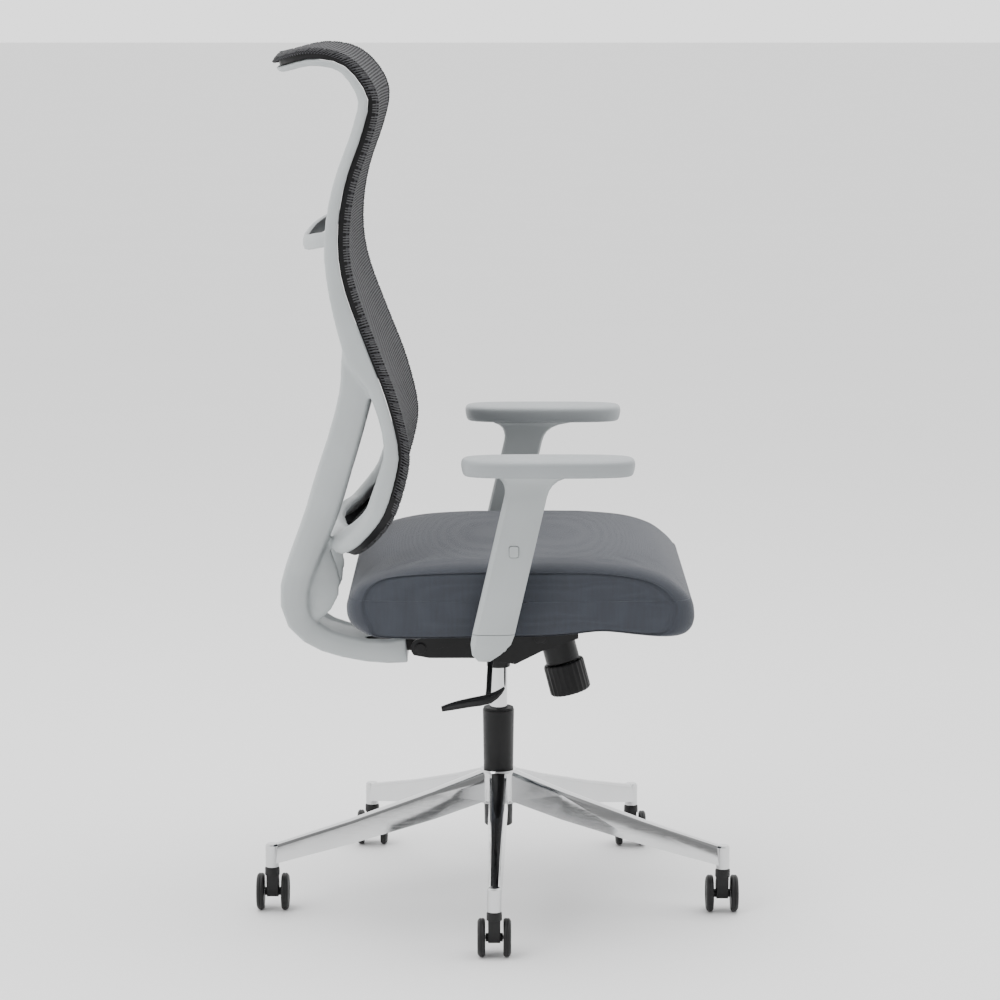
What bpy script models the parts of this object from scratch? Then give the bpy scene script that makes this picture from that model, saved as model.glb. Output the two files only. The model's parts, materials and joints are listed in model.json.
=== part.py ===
"""High-back office chair with a mesh back, a padded seat and a five-leg base on casters.

Metres. +X is the way the sitter faces, +Y is the sitter's left, +Z is up.
The origin is on the floor, on the axis of the gas lift.
"""

import math

import bmesh
import bpy
import numpy as np
from mathutils import Matrix, Vector

GAP = 0.0003  # space left between pieces that touch
CUT_PAST = 0.005  # how far a cutter runs past the face it opens
ACROSS = 0.080  # half length of a cutter that goes right across the mechanism
SIDES = (("right", -1), ("left", 1))

# Star base and casters
LEG_COUNT = 5
FIRST_LEG_DEG = -90.95
CASTER_CIRCLE_R = 0.335
HUB_TOP_Z = 0.185
HUB_BOTTOM_Z = 0.137
BOSS_R = 0.0095
BOSS_BOTTOM_Z = 0.0655
LEG_END_TOP_Z = 0.098
STEM_R = 0.0055
STEM_BOTTOM_Z, STEM_TOP_Z = 0.0585, 0.0920
WHEEL_R = 0.026
WHEEL_INNER = 0.01225
WHEEL_OUTER = 0.0229
AXLE_R = 0.003
CASTER_TRAIL = 0.012
CASTER_CAP_R = 0.0105
CASTER_CAP_TOP_Z = 0.0650
CASTER_BODY_HALF = 0.0083
WHEEL_FACE = 0.0027  # thickness of a wheel's outer face over the axle's end

# Gas lift, at 55 mm of its 100 mm stroke
TUBE_TOP_R = 0.0225
TUBE_BOTTOM_R = 0.0200
TUBE_BOTTOM_Z = 0.103
TUBE_TOP_Z = 0.272
TUBE_WALL = 0.0016
LIFT_R = 0.0125
LIFT_BOTTOM_Z = 0.175
LIFT_TOP_Z = 0.392
ROD_R = 0.005
RELEASE_PIN_R = 0.0030

# Tilt mechanism
RECLINE_X, RECLINE_Z = -0.110, 0.372
TILT_X, TILT_Z = 0.060, 0.389
HOUSING_HALF_WIDTH = 0.060
HOUSING_WALL = 0.003
HOUSING_TOP_Z = 0.398
RECLINE_PIN_R, TILT_PIN_R = 0.005, 0.004
KNOB_TOP = Vector((0.0925, 0.0, 0.342))
KNOB_TILT_DEG = 14.7
KNOB_R = 0.0295
KNOB_LENGTH = 0.046
NECK_R = 0.0243
BOLT_R = 0.005
BACK_ARM_REAR_X, BACK_ARM_HALF_WIDTH, BACK_ARM_HALF_THICK = -0.190, 0.0345, 0.0078
LEVER_X = -0.010  # the height lever, on the right
LOCK_X = 0.035  # the tilt lock lever, on the left
LEVER_PIVOT_Z = 0.391

# Seat
SEAT_HALF_WIDTH = 0.252
SEAT_MIDDLE_X, SEAT_MIDDLE_Z = 0.030, 0.474
SEAT_HALF_LENGTH, SEAT_HALF_HEIGHT = 0.236, 0.052
SEAT_EDGE_R = 0.022
SEAT_CROWN = 0.004
# Side outline of the cushion, x and z: hollow underside, waterfall front, long flat top, round rear
SEAT_OUTLINE = (
    (-0.1650, 0.4217),
    (0.0400, 0.4227),
    (0.1500, 0.4315),
    (0.2080, 0.4225),
    (0.2500, 0.4220),
    (0.2670, 0.4375),
    (0.2695, 0.4600),
    (0.2625, 0.4790),
    (0.2468, 0.4950),
    (0.2250, 0.5090),
    (0.1900, 0.5195),
    (0.1400, 0.5245),
    (0.0600, 0.5265),
    (-0.0600, 0.5245),
    (-0.1190, 0.5200),
    (-0.1620, 0.5100),
    (-0.1930, 0.4945),
    (-0.2070, 0.4750),
    (-0.2090, 0.4560),
    (-0.1980, 0.4350),
    (-0.1650, 0.4217),
)
POCKET_TOP_Z = 0.446
SHELL_BOTTOM_Z = 0.435
POCKET_X = (-0.165, 0.195)
POCKET_HALF_WIDTH = 0.205

# Arms
ARM_LEAN_DEG = 13.0
ARM_SEAM = Vector((-0.0065, 0.0, 0.435))
ARM_Y = 0.277
ARM_WIDTH = 0.057
ARM_THICK = 0.026
ARM_POST_WIDTH = 0.038
ARM_POST_THICK = 0.011
PAD_Z = (0.6530, 0.6765)
PAD_X = (-0.050, 0.183)
PAD_Y = 0.287
BUTTON_FLOOR_Y, BUTTON_FACE_Y = 0.2843, 0.2912
PAD_HALF_WIDTH = 0.0425

# Back: x, z, half width and rearward bow at the middle of the mesh's front face, from the headrest's tip down
BACK_PROFILE = (
    (-0.2960, 1.2060, 0.205, 0.006),
    (-0.2480, 1.2170, 0.214, 0.007),
    (-0.1970, 1.2050, 0.222, 0.008),
    (-0.1605, 1.1560, 0.228, 0.008),
    (-0.1670, 1.1050, 0.232, 0.008),
    (-0.1915, 1.0330, 0.238, 0.008),
    (-0.2005, 0.9650, 0.243, 0.008),
    (-0.1930, 0.9030, 0.247, 0.008),
    (-0.1620, 0.8180, 0.250, 0.008),
    (-0.1380, 0.7550, 0.250, 0.009),
    (-0.1200, 0.6800, 0.248, 0.010),
    (-0.1260, 0.6350, 0.243, 0.014),
    (-0.1405, 0.5890, 0.233, 0.024),
    (-0.1630, 0.5510, 0.221, 0.038),
    (-0.1800, 0.5200, 0.212, 0.046),
)
MESH_THICK = 0.0014
CARRIER_DEPTH = (0.0026, 0.0140)
CARRIER_WIDTH = 0.011
RAIL_FRONT_DEPTH = 0.0148
RAIL_OVERHANG = 0.005
TOP_CORNER_R = 0.060
BOTTOM_CORNER_R = 0.075
# The frame rail: height on the back, its depth front to rear, its width across
RAIL_SIZES = (
    (0.500, 0.014, 0.040),
    (0.550, 0.018, 0.036),
    (0.610, 0.024, 0.024),
    (0.660, 0.021, 0.019),
    (0.720, 0.016, 0.018),
    (0.770, 0.018, 0.018),
    (0.815, 0.032, 0.019),
    (0.850, 0.028, 0.018),
    (0.910, 0.020, 0.017),
    (0.970, 0.017, 0.016),
    (1.040, 0.014, 0.016),
    (1.150, 0.013, 0.016),
    (1.205, 0.009, 0.016),
    (1.300, 0.009, 0.016),
)
# One upright: x, y, z, depth front to rear, thickness across; it turns forward into the J bar's side
UPRIGHT = (
    (-0.199, 0.241, 0.850, 0.014, 0.010),
    (-0.197, 0.240, 0.813, 0.028, 0.016),
    (-0.191, 0.237, 0.776, 0.043, 0.019),
    (-0.196, 0.230, 0.741, 0.043, 0.021),
    (-0.211, 0.215, 0.686, 0.044, 0.022),
    (-0.228, 0.190, 0.631, 0.047, 0.023),
    (-0.243, 0.158, 0.582, 0.046, 0.024),
    (-0.262, 0.118, 0.532, 0.044, 0.025),
    (-0.278, 0.084, 0.490, 0.042, 0.026),
    (-0.288, 0.062, 0.449, 0.041, 0.026),
    (-0.281, 0.051, 0.411, 0.038, 0.024),
    (-0.255, 0.047, 0.387, 0.035, 0.022),
    (-0.218, 0.046, 0.373, 0.033, 0.022),
    (-0.170, 0.046, 0.365, 0.033, 0.022),
    (-0.130, 0.046, 0.368, 0.038, 0.022),
)
# The thin gusset that widens each upright towards the seat, above the bend
GUSSET = (
    (-0.250, 0.148, 0.562, 0.020, 0.009),
    (-0.252, 0.116, 0.530, 0.032, 0.010),
    (-0.250, 0.088, 0.497, 0.047, 0.010),
    (-0.248, 0.068, 0.467, 0.052, 0.010),
    (-0.250, 0.056, 0.440, 0.040, 0.010),
    (-0.262, 0.050, 0.415, 0.020, 0.010),
)
CROTCH_R, CROTCH_Z = 0.052, 0.520  # the round valley between the uprights
# The plate between the uprights' feet, which runs forward as the J bar
SPINE = (
    (-0.289, 0.0, 0.510, 0.010, 0.150),
    (-0.297, 0.0, 0.470, 0.015, 0.130),
    (-0.296, 0.0, 0.439, 0.019, 0.115),
    (-0.282, 0.0, 0.408, 0.026, 0.104),
    (-0.255, 0.0, 0.386, 0.030, 0.098),
    (-0.218, 0.0, 0.373, 0.030, 0.094),
    (-0.170, 0.0, 0.365, 0.031, 0.094),
    (-0.1302, 0.0, 0.368, 0.036, 0.094),
)
# The hanger rail behind the neck: x, y, z, depth, height
HANGER = (
    (-0.2290, 0.229, 0.9637, 0.008, 0.020),
    (-0.2460, 0.200, 0.9590, 0.010, 0.021),
    (-0.2620, 0.130, 0.9520, 0.010, 0.021),
    (-0.2660, 0.000, 0.9490, 0.010, 0.021),
)


# ---- Shared tools -------------------------------------------------------------------------------


def clear_scene():
    for obj in list(bpy.data.objects):
        bpy.data.objects.remove(obj)


def material(name, colour, roughness, metallic=0.0):
    made = bpy.data.materials.get(name) or bpy.data.materials.new(name)
    made.use_nodes = True
    shader = made.node_tree.nodes["Principled BSDF"]
    shader.inputs["Base Color"].default_value = (*colour, 1.0)
    shader.inputs["Roughness"].default_value = roughness
    shader.inputs["Metallic"].default_value = metallic
    return made


def node(name, shape, look, origin=(0, 0, 0), sharp_deg=35):
    """One named object from a bmesh in world coordinates, with its origin on its joint's axis."""
    colour, roughness, metallic = look
    bmesh.ops.recalc_face_normals(shape, faces=shape.faces)
    bmesh.ops.translate(shape, verts=shape.verts, vec=-Vector(origin))
    mesh = bpy.data.meshes.new(name)
    shape.to_mesh(mesh)
    shape.free()
    mesh.shade_smooth()
    mesh.set_sharp_from_angle(angle=math.radians(sharp_deg))
    mesh.materials.append(material(name, colour, roughness, metallic))
    obj = bpy.data.objects.new(name, mesh)
    obj.location = origin
    bpy.context.scene.collection.objects.link(obj)
    return obj


def boolean(target, operation, shape):
    """Joins a shape to the target or cuts it away. The shape stays as a hidden helper."""
    helper = node(f"{target.name}_helper_{len(target.modifiers)}", shape, PLASTIC_BLACK)
    helper.hide_render = True
    helper.display_type = "WIRE"
    helper.hide_set(True)
    step = target.modifiers.new(f"{operation.lower()}_{len(target.modifiers)}", "BOOLEAN")
    step.operation = operation
    step.object = helper


def spline(points, count):
    """Smooth curve through points of any width, read at count even steps of its parameter."""
    table = np.array(points, float)
    padded = np.vstack([2 * table[0] - table[1], table, 2 * table[-1] - table[-2]])
    read = []
    for position in np.linspace(0, len(table) - 1, count):
        index = min(int(position), len(table) - 2)
        t = position - index
        a, b, c, d = padded[index : index + 4]
        square = 2 * a - 5 * b + 4 * c - d
        cube = 3 * b - a - 3 * c + d
        read.append(0.5 * (2 * b + (c - a) * t + square * t**2 + cube * t**3))
    return np.array(read)


def loft(rings, loop=False, shape=None):
    """Skin over rings of equal length. The ends are capped, or joined to each other in a loop."""
    shape = shape or bmesh.new()
    skins = [[shape.verts.new(point) for point in ring] for ring in rings]
    if not loop:
        shape.faces.new(skins[0])
        shape.faces.new(reversed(skins[-1]))
    pairs = zip(skins, skins[1:] + skins[:1]) if loop else zip(skins, skins[1:])
    for low, high in pairs:
        for k in range(len(low)):
            j = (k + 1) % len(low)
            shape.faces.new((low[j], low[k], high[k], high[j]))
    return shape


def turned(profile, centre, axis=(0, 0, 1), segments=24, hollow=False, shape=None):
    """Solid of revolution from (radius, height) pairs. A hollow profile is a closed outline off the axis."""
    shape = shape or bmesh.new()
    turn = Vector((0, 0, 1)).rotation_difference(Vector(axis)).to_matrix()
    rings = []
    for radius, height in profile:
        count = segments if radius > 0 else 1
        angles = [math.tau * k / count for k in range(count)]
        ring = [turn @ Vector((radius * math.cos(a), radius * math.sin(a), height)) for a in angles]
        rings.append([shape.verts.new(Vector(centre) + point) for point in ring])
    pairs = list(zip(rings, rings[1:]))
    if hollow:
        pairs.append((rings[-1], rings[0]))
    for low, high in pairs:
        for k in range(segments):
            after = k + 1
            corners = [low[k % len(low)], low[after % len(low)]]
            corners += [high[after % len(high)], high[k % len(high)]]
            corners = list(dict.fromkeys(corners))
            if len(corners) > 2:
                shape.faces.new(corners)
    return shape


def rod(radius, low, high):
    """Profile of a plain round solid, for turned()."""
    return ((0.0, low), (radius, low), (radius, high), (0.0, high))


def prism(outline, along, low, high, shape=None):
    """A flat outline pushed from low to high along one axis. Its points are in the other two, in order."""
    at = "XYZ".index(along)
    rings = [[(*point[:at], level, *point[at:]) for point in outline] for level in (low, high)]
    return loft(rings, shape=shape)


def box(low, high, shape=None):
    outline = ((low[0], low[1]), (high[0], low[1]), (high[0], high[1]), (low[0], high[1]))
    return prism(outline, "Z", low[2], high[2], shape)


def arc(centre, radius, start_deg, end_deg, count):
    """Points on an arc, both ends included."""
    angles = np.radians(np.linspace(start_deg, end_deg, count))
    return [(centre[0] + radius * math.cos(a), centre[1] + radius * math.sin(a)) for a in angles]


def rounded_rectangle(half_a, half_b, radius, per_corner=4):
    corners = ((1, 1, 0), (-1, 1, 90), (-1, -1, 180), (1, -1, 270))
    outline = []
    for a, b, start in corners:
        outline += arc((a * (half_a - radius), b * (half_b - radius)), radius, start, start + 90, per_corner)
    return outline


def squircle(half_a, half_b, count=12, power=3.2):
    """Soft-cornered oval: a box with round edges at a high power, an ellipse at 2."""
    outline = []
    for k in range(count):
        angle = math.tau * (k + 0.5) / count
        c, s = math.cos(angle), math.sin(angle)
        size = (abs(c) ** power + abs(s) ** power) ** (-1 / power)
        outline.append((half_a * size * c, half_b * size * s))
    return outline


def bar(stations, count, sections=12, power=3.2, side=1, across=(0, 1, 0), shape=None):
    """A bar swept through stations of x, y, z, depth and thickness. side -1 mirrors it in Y."""
    read = spline(stations, count)
    centres = [Vector((x, side * y, z)) for x, y, z, _, _ in read]
    rings = []
    for k, (*_, depth, thick) in enumerate(read):
        ahead = (centres[min(k + 1, count - 1)] - centres[max(k - 1, 0)]).normalized()
        lateral = Vector(across)
        lateral = (lateral - ahead * lateral.dot(ahead)).normalized()
        outward = ahead.cross(lateral)
        outline = squircle(depth / 2, thick / 2, sections, power)
        rings.append([centres[k] + outward * a + lateral * b for a, b in outline])
    return loft(rings, shape=shape)


def tube(points, radius, count, sides=8):
    """A round rod along a smooth curve through points."""
    stations = [(*point, 2 * radius, 2 * radius) for point in points]
    return bar(stations, count, sides, 2.0, across=(1, 0, 0))


# ---- Looks: colour, roughness, metallic ---------------------------------------------------------

PLASTIC_BLACK = ((0.018, 0.018, 0.019), 0.5, 0.0)
PLASTIC_CHARCOAL = ((0.030, 0.030, 0.032), 0.55, 0.0)
PLASTIC_GREY = ((0.60, 0.62, 0.62), 0.45, 0.0)
PAD_GREY = ((0.50, 0.52, 0.52), 0.6, 0.0)
STEEL_BLACK = ((0.015, 0.015, 0.016), 0.4, 0.6)
STEEL = ((0.55, 0.55, 0.57), 0.3, 1.0)
CHROME = ((0.80, 0.80, 0.82), 0.06, 1.0)
ALUMINIUM = ((0.78, 0.79, 0.80), 0.1, 1.0)
SEAT_CLOTH = ((0.065, 0.075, 0.095), 0.9, 0.0)
MESH_CLOTH = ((0.030, 0.030, 0.032), 0.85, 0.0)


# ---- Star base and casters ----------------------------------------------------------------------


def leg_directions():
    angles = [math.radians(FIRST_LEG_DEG + 360 / LEG_COUNT * k) for k in range(LEG_COUNT)]
    return [Vector((math.cos(a), math.sin(a), 0)) for a in angles]


def tube_radius(z):
    """Outer radius of the lift's tapered outer tube at a height."""
    share = (z - TUBE_BOTTOM_Z) / (TUBE_TOP_Z - TUBE_BOTTOM_Z)
    return TUBE_BOTTOM_R + (TUBE_TOP_R - TUBE_BOTTOM_R) * share


def leg_shape(direction, shape):
    """One cast leg: crowned top, drafted sides, open channel below."""
    lateral = Vector((-direction.y, direction.x, 0))
    # distance from the axis, top z, height, top half width, bottom half width
    stations = (
        (0.024, 0.184, 0.043, 0.0125, 0.0145),
        (0.100, 0.1595, 0.040, 0.0105, 0.0130),
        (0.220, 0.1255, 0.033, 0.0085, 0.0110),
        (CASTER_CIRCLE_R - 0.003, LEG_END_TOP_Z, 0.027, 0.0070, 0.0090),
    )
    rings = []
    for reach, top, height, upper, lower in stations:
        wall = 0.0035
        section = (
            (0, top),
            (upper * 0.75, top - 0.001),
            (upper, top - 0.005),
            (lower, top - height),
            (lower - wall, top - height),
            (upper - wall, top - height * 0.5),
            (wall - upper, top - height * 0.5),
            (wall - lower, top - height),
            (-lower, top - height),
            (-upper, top - 0.005),
            (-upper * 0.75, top - 0.001),
        )
        rings.append([direction * reach + lateral * a + Vector((0, 0, z)) for a, z in section])
    loft(rings, shape=shape)


def build_star_base():
    hub = (
        (0.0, HUB_BOTTOM_Z),
        (0.0275, HUB_BOTTOM_Z),
        (0.0290, HUB_BOTTOM_Z + 0.004),
        (0.0275, HUB_TOP_Z - 0.003),
        (0.0260, HUB_TOP_Z),
        (0.0, HUB_TOP_Z),
    )
    base = node("star_base", turned(hub, (0, 0, 0), segments=32), ALUMINIUM)
    legs, bosses, bores = bmesh.new(), bmesh.new(), bmesh.new()
    boss = (
        (0.0, BOSS_BOTTOM_Z),
        (BOSS_R, BOSS_BOTTOM_Z),
        (BOSS_R, LEG_END_TOP_Z - 0.002),
        (BOSS_R - 0.002, LEG_END_TOP_Z + 0.0005),
        (0.0, LEG_END_TOP_Z + 0.0005),
    )
    bore = rod(STEM_R + GAP, BOSS_BOTTOM_Z - CUT_PAST, STEM_TOP_Z + 2 * GAP)
    for direction in leg_directions():
        leg_shape(direction, legs)
        turned(boss, direction * CASTER_CIRCLE_R, segments=16, shape=bosses)
        turned(bore, direction * CASTER_CIRCLE_R, segments=12, shape=bores)
    low, high = HUB_BOTTOM_Z - CUT_PAST, HUB_TOP_Z + CUT_PAST
    taper = ((0.0, low), (tube_radius(low) + GAP, low), (tube_radius(high) + GAP, high), (0.0, high))
    turned(taper, (0, 0, 0), segments=32, shape=bores)
    boolean(base, "UNION", legs)
    boolean(base, "UNION", bosses)
    boolean(base, "DIFFERENCE", bores)


def caster_housing_outline():
    """Side outline of a caster's body, y and z from the floor below the stem. The axle is behind it."""
    return (
        (0.0100, 0.0206),
        (0.0240, 0.0206),
        (0.0300, 0.0270),
        (0.0280, 0.0385),
        (0.0190, 0.0490),
        (0.0085, 0.0560),
        (-0.0085, 0.0560),
        (-0.0085, 0.0440),
        (-0.0040, 0.0320),
        (0.0020, 0.0206),
    )


def build_caster(name, stem_at):
    """One twin-wheel caster. Its wheels turn about X and its axle trails behind the stem in +Y."""
    floor = Vector((stem_at.x, stem_at.y, 0))
    axle_at = floor + Vector((0, CASTER_TRAIL, WHEEL_R))
    stem = (
        (0.0, STEM_BOTTOM_Z),
        (STEM_R, STEM_BOTTOM_Z),
        (STEM_R, STEM_TOP_Z - 0.0015),
        (STEM_R - 0.0015, STEM_TOP_Z),
        (0.0, STEM_TOP_Z),
    )
    node(f"{name}_stem", turned(stem, floor, segments=12), STEEL, floor)

    body = prism(caster_housing_outline(), "X", -CASTER_BODY_HALF, CASTER_BODY_HALF)
    bmesh.ops.translate(body, verts=body.verts, vec=floor)
    housing = node(f"{name}_housing", body, PLASTIC_CHARCOAL, floor)
    cap = (
        (0.0, CASTER_CAP_TOP_Z - 0.0115),
        (CASTER_CAP_R, CASTER_CAP_TOP_Z - 0.0115),
        (CASTER_CAP_R, CASTER_CAP_TOP_Z - 0.0020),
        (CASTER_CAP_R - 0.0010, CASTER_CAP_TOP_Z),
        (0.0, CASTER_CAP_TOP_Z),
    )
    boolean(housing, "UNION", turned(cap, floor, segments=16))
    sleeve_end = WHEEL_INNER - 2 * GAP
    sleeve = rod(2 * AXLE_R, -sleeve_end, sleeve_end)
    boolean(housing, "UNION", turned(sleeve, axle_at, (1, 0, 0), 10))
    stem_hole = rod(STEM_R + GAP, STEM_BOTTOM_Z - 2 * GAP, CASTER_CAP_TOP_Z + CUT_PAST)
    holes = turned(stem_hole, floor, segments=12)
    axle_hole = rod(AXLE_R + GAP, -WHEEL_OUTER, WHEEL_OUTER)
    turned(axle_hole, axle_at, (1, 0, 0), 8, shape=holes)
    boolean(housing, "DIFFERENCE", holes)

    half = WHEEL_OUTER - WHEEL_FACE - GAP
    node(f"{name}_axle", turned(rod(AXLE_R, -half, half), axle_at, (1, 0, 0), 8), STEEL, axle_at)
    for side_name, side in SIDES:
        build_wheel(f"{name}_wheel_{side_name}", axle_at, side)


def build_wheel(name, axle_at, side):
    """A wheel with a round tread, a dished outer face and a blind bore for the axle."""
    bore = AXLE_R + GAP
    profile = (
        (0.0, WHEEL_OUTER),
        (WHEEL_R - 0.0032, WHEEL_OUTER - 0.0006),
        (WHEEL_R, WHEEL_OUTER - 0.0040),
        (WHEEL_R, WHEEL_INNER + 0.0022),
        (WHEEL_R - 0.0020, WHEEL_INNER),
        (bore, WHEEL_INNER),
        (bore, WHEEL_OUTER - WHEEL_FACE),
        (0.0, WHEEL_OUTER - WHEEL_FACE),
    )
    node(name, turned(profile, axle_at, (side, 0, 0), 20), PLASTIC_CHARCOAL, axle_at)


# ---- Gas lift -----------------------------------------------------------------------------------


def build_lift():
    rod_hole = ROD_R + GAP
    floor = TUBE_BOTTOM_Z + 0.003
    bore_low = tube_radius(floor) - TUBE_WALL
    bore_high = TUBE_TOP_R - TUBE_WALL
    outer_tube = (
        (TUBE_BOTTOM_R - 0.001, TUBE_BOTTOM_Z),
        (TUBE_BOTTOM_R, TUBE_BOTTOM_Z + 0.001),
        (TUBE_TOP_R, TUBE_TOP_Z),
        (bore_high, TUBE_TOP_Z),
        (bore_low, floor),
        (rod_hole, floor),
        (rod_hole, TUBE_BOTTOM_Z),
    )
    node("lift_outer_tube", turned(outer_tube, (0, 0, 0), segments=32, hollow=True), STEEL_BLACK)

    bush_low = 0.202
    bush_r = tube_radius(bush_low) - TUBE_WALL - GAP
    bush = (
        (bush_r, bush_low),
        (bore_high - GAP, TUBE_TOP_Z),
        (bore_high - GAP, TUBE_TOP_Z + GAP),
        (TUBE_TOP_R - 0.0006, TUBE_TOP_Z + GAP),
        (TUBE_TOP_R - 0.0012, TUBE_TOP_Z + 0.0030),
        (LIFT_R + GAP, TUBE_TOP_Z + 0.0030),
        (LIFT_R + GAP, bush_low),
    )
    node("lift_guide_bush", turned(bush, (0, 0, 0), hollow=True), PLASTIC_CHARCOAL)

    bearing_low = floor + GAP
    bearing_r, bearing_high = 0.0110, 0.1115
    bearing = (
        (bearing_r, bearing_low),
        (bearing_r, bearing_high),
        (rod_hole, bearing_high),
        (rod_hole, bearing_low),
    )
    node("lift_thrust_bearing", turned(bearing, (0, 0, 0), segments=16, hollow=True), STEEL)

    rod_bottom, piston_low, piston_high, piston_r = 0.0995, 0.236, 0.250, 0.0098
    piston_rod = (
        (0.0, rod_bottom),
        (ROD_R, rod_bottom),
        (ROD_R, piston_low),
        (piston_r, piston_low),
        (piston_r, piston_high),
        (0.0, piston_high),
    )
    node("lift_piston_rod", turned(piston_rod, (0, 0, 0), segments=16), STEEL)

    bore, pin_hole = 0.0102, RELEASE_PIN_R + GAP
    cylinder = (
        (rod_hole, LIFT_BOTTOM_Z),
        (LIFT_R - 0.001, LIFT_BOTTOM_Z),
        (LIFT_R, LIFT_BOTTOM_Z + 0.001),
        (LIFT_R, 0.340),
        (LIFT_R - 0.0008, LIFT_TOP_Z),
        (pin_hole, LIFT_TOP_Z),
        (pin_hole, 0.376),
        (bore, 0.366),
        (bore, LIFT_BOTTOM_Z + 0.010),
        (rod_hole, LIFT_BOTTOM_Z + 0.010),
    )
    node("lift_cylinder", turned(cylinder, (0, 0, 0), segments=24, hollow=True), CHROME)

    pin_low, pin_high = LIFT_TOP_Z - 0.012, LIFT_TOP_Z + 0.006
    pin = (
        (0.0, pin_low),
        (RELEASE_PIN_R, pin_low),
        (RELEASE_PIN_R, pin_high - 0.0005),
        (RELEASE_PIN_R - 0.0006, pin_high),
        (0.0, pin_high),
    )
    node("lift_release_pin", turned(pin, (0, 0, 0), segments=12), STEEL)


# ---- Tilt mechanism -----------------------------------------------------------------------------


def knob_axis():
    lean = math.radians(KNOB_TILT_DEG)
    return Vector((-math.sin(lean), 0, math.cos(lean)))


def build_housing():
    """Pressed-steel tray: open above and behind, with the lift's socket and the spring cup below."""
    outer = arc((RECLINE_X, RECLINE_Z), 0.0140, 90, 225, 6)
    outer += [(-0.098, 0.358), (-0.030, 0.358), (0.024, 0.349), (0.062, 0.368), (0.113, 0.386)]
    outer += [(0.113, HOUSING_TOP_Z), (-0.096, HOUSING_TOP_Z)]
    half = HOUSING_HALF_WIDTH
    housing = node("mech_housing", prism(outer, "Y", -half, half), STEEL_BLACK, sharp_deg=25)
    inner = [(-0.140, 0.345), (-0.101, 0.345), (-0.101, 0.361), (-0.030, 0.361), (0.024, 0.3525)]
    inner += [(0.062, 0.3715), (0.110, 0.389), (0.110, 0.420), (-0.140, 0.420)]
    boolean(housing, "DIFFERENCE", prism(inner, "Y", HOUSING_WALL - half, half - HOUSING_WALL))

    socket = (
        (0.0, 0.3345),
        (0.0165, 0.3345),
        (0.0175, 0.3460),
        (0.0215, 0.3540),
        (0.0215, 0.3860),
        (0.0, 0.3860),
    )
    boolean(housing, "UNION", turned(socket, (0, 0, 0)))
    axis = knob_axis()
    boolean(housing, "UNION", turned(rod(NECK_R, 4 * GAP, 0.044), KNOB_TOP, axis))

    cuts = turned(rod(LIFT_R + GAP, 0.330, 0.400), (0, 0, 0))
    turned(rod(NECK_R - HOUSING_WALL, 0.004, 0.060), KNOB_TOP, axis, shape=cuts)
    for x, z, radius in ((RECLINE_X, RECLINE_Z, RECLINE_PIN_R), (TILT_X, TILT_Z, TILT_PIN_R)):
        turned(rod(radius + GAP, -ACROSS, ACROSS), (x, 0, z), (0, 1, 0), 12, shape=cuts)
    for x, side in ((LEVER_X, -1), (LOCK_X, 1)):
        low, high = sorted((side * (half - 0.010), side * (half + 0.010)))
        box((x - 0.0065, low, LEVER_PIVOT_Z - 0.007), (x + 0.0065, high, HOUSING_TOP_Z + 0.010), cuts)
    boolean(housing, "DIFFERENCE", cuts)
    clear = rod(BOLT_R + GAP, -0.010, 0.030)
    boolean(housing, "DIFFERENCE", turned(clear, KNOB_TOP, axis, 12))


def build_pins():
    for name, x, z, radius, half in (
        ("recline_pin", RECLINE_X, RECLINE_Z, RECLINE_PIN_R, HOUSING_HALF_WIDTH),
        ("seat_tilt_pin", TILT_X, TILT_Z, TILT_PIN_R, HOUSING_HALF_WIDTH + 0.0065),
    ):
        head, low, high = radius + 0.003, half + GAP, half + GAP + 0.0025
        end = ((radius, low), (head, low), (head, high), (0.0, high))
        profile = [(r, -h) for r, h in reversed(end)] + list(end)
        node(name, turned(profile, (x, 0, z), (0, 1, 0), 12), STEEL_BLACK, (x, 0, z))


def build_seat_plate():
    """Pressed plate under the seat shell, with an ear each side on the seat's tilt pin."""
    top, thick = SHELL_BOTTOM_Z - GAP, 0.003
    plate = box((-0.120, -0.090, top - thick), (0.118, 0.090, top))
    obj = node("mech_seat_plate", plate, STEEL_BLACK, (TILT_X, 0, TILT_Z))
    low, high = HOUSING_HALF_WIDTH + 0.003, HOUSING_HALF_WIDTH + 0.006
    ear = arc((TILT_X, TILT_Z), 0.010, 180, 360, 7)
    ear += [(TILT_X + 0.018, top - 0.001), (TILT_X - 0.018, top - 0.001)]
    ears = prism(ear, "Y", low, high)
    prism(ear, "Y", -high, -low, ears)
    boolean(obj, "UNION", ears)
    hole = rod(TILT_PIN_R + GAP, -ACROSS, ACROSS)
    boolean(obj, "DIFFERENCE", turned(hole, (TILT_X, 0, TILT_Z), (0, 1, 0), 12))


def build_back_arm():
    """Steel arm from the recline pin into the J bar."""
    half_thick, eye = BACK_ARM_HALF_THICK, 0.0105
    neck_x = RECLINE_X - 0.008
    outline = [(BACK_ARM_REAR_X, RECLINE_Z - half_thick), (neck_x, RECLINE_Z - half_thick)]
    outline += arc((RECLINE_X, RECLINE_Z), eye, -125, 125, 12)
    outline += [(neck_x, RECLINE_Z + half_thick), (BACK_ARM_REAR_X, RECLINE_Z + half_thick)]
    blade = prism(outline, "Y", -BACK_ARM_HALF_WIDTH, BACK_ARM_HALF_WIDTH)
    arm = node("back_arm", blade, STEEL_BLACK, (RECLINE_X, 0, RECLINE_Z))
    hole = rod(RECLINE_PIN_R + GAP, -ACROSS, ACROSS)
    boolean(arm, "DIFFERENCE", turned(hole, (RECLINE_X, 0, RECLINE_Z), (0, 1, 0), 12))


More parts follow.
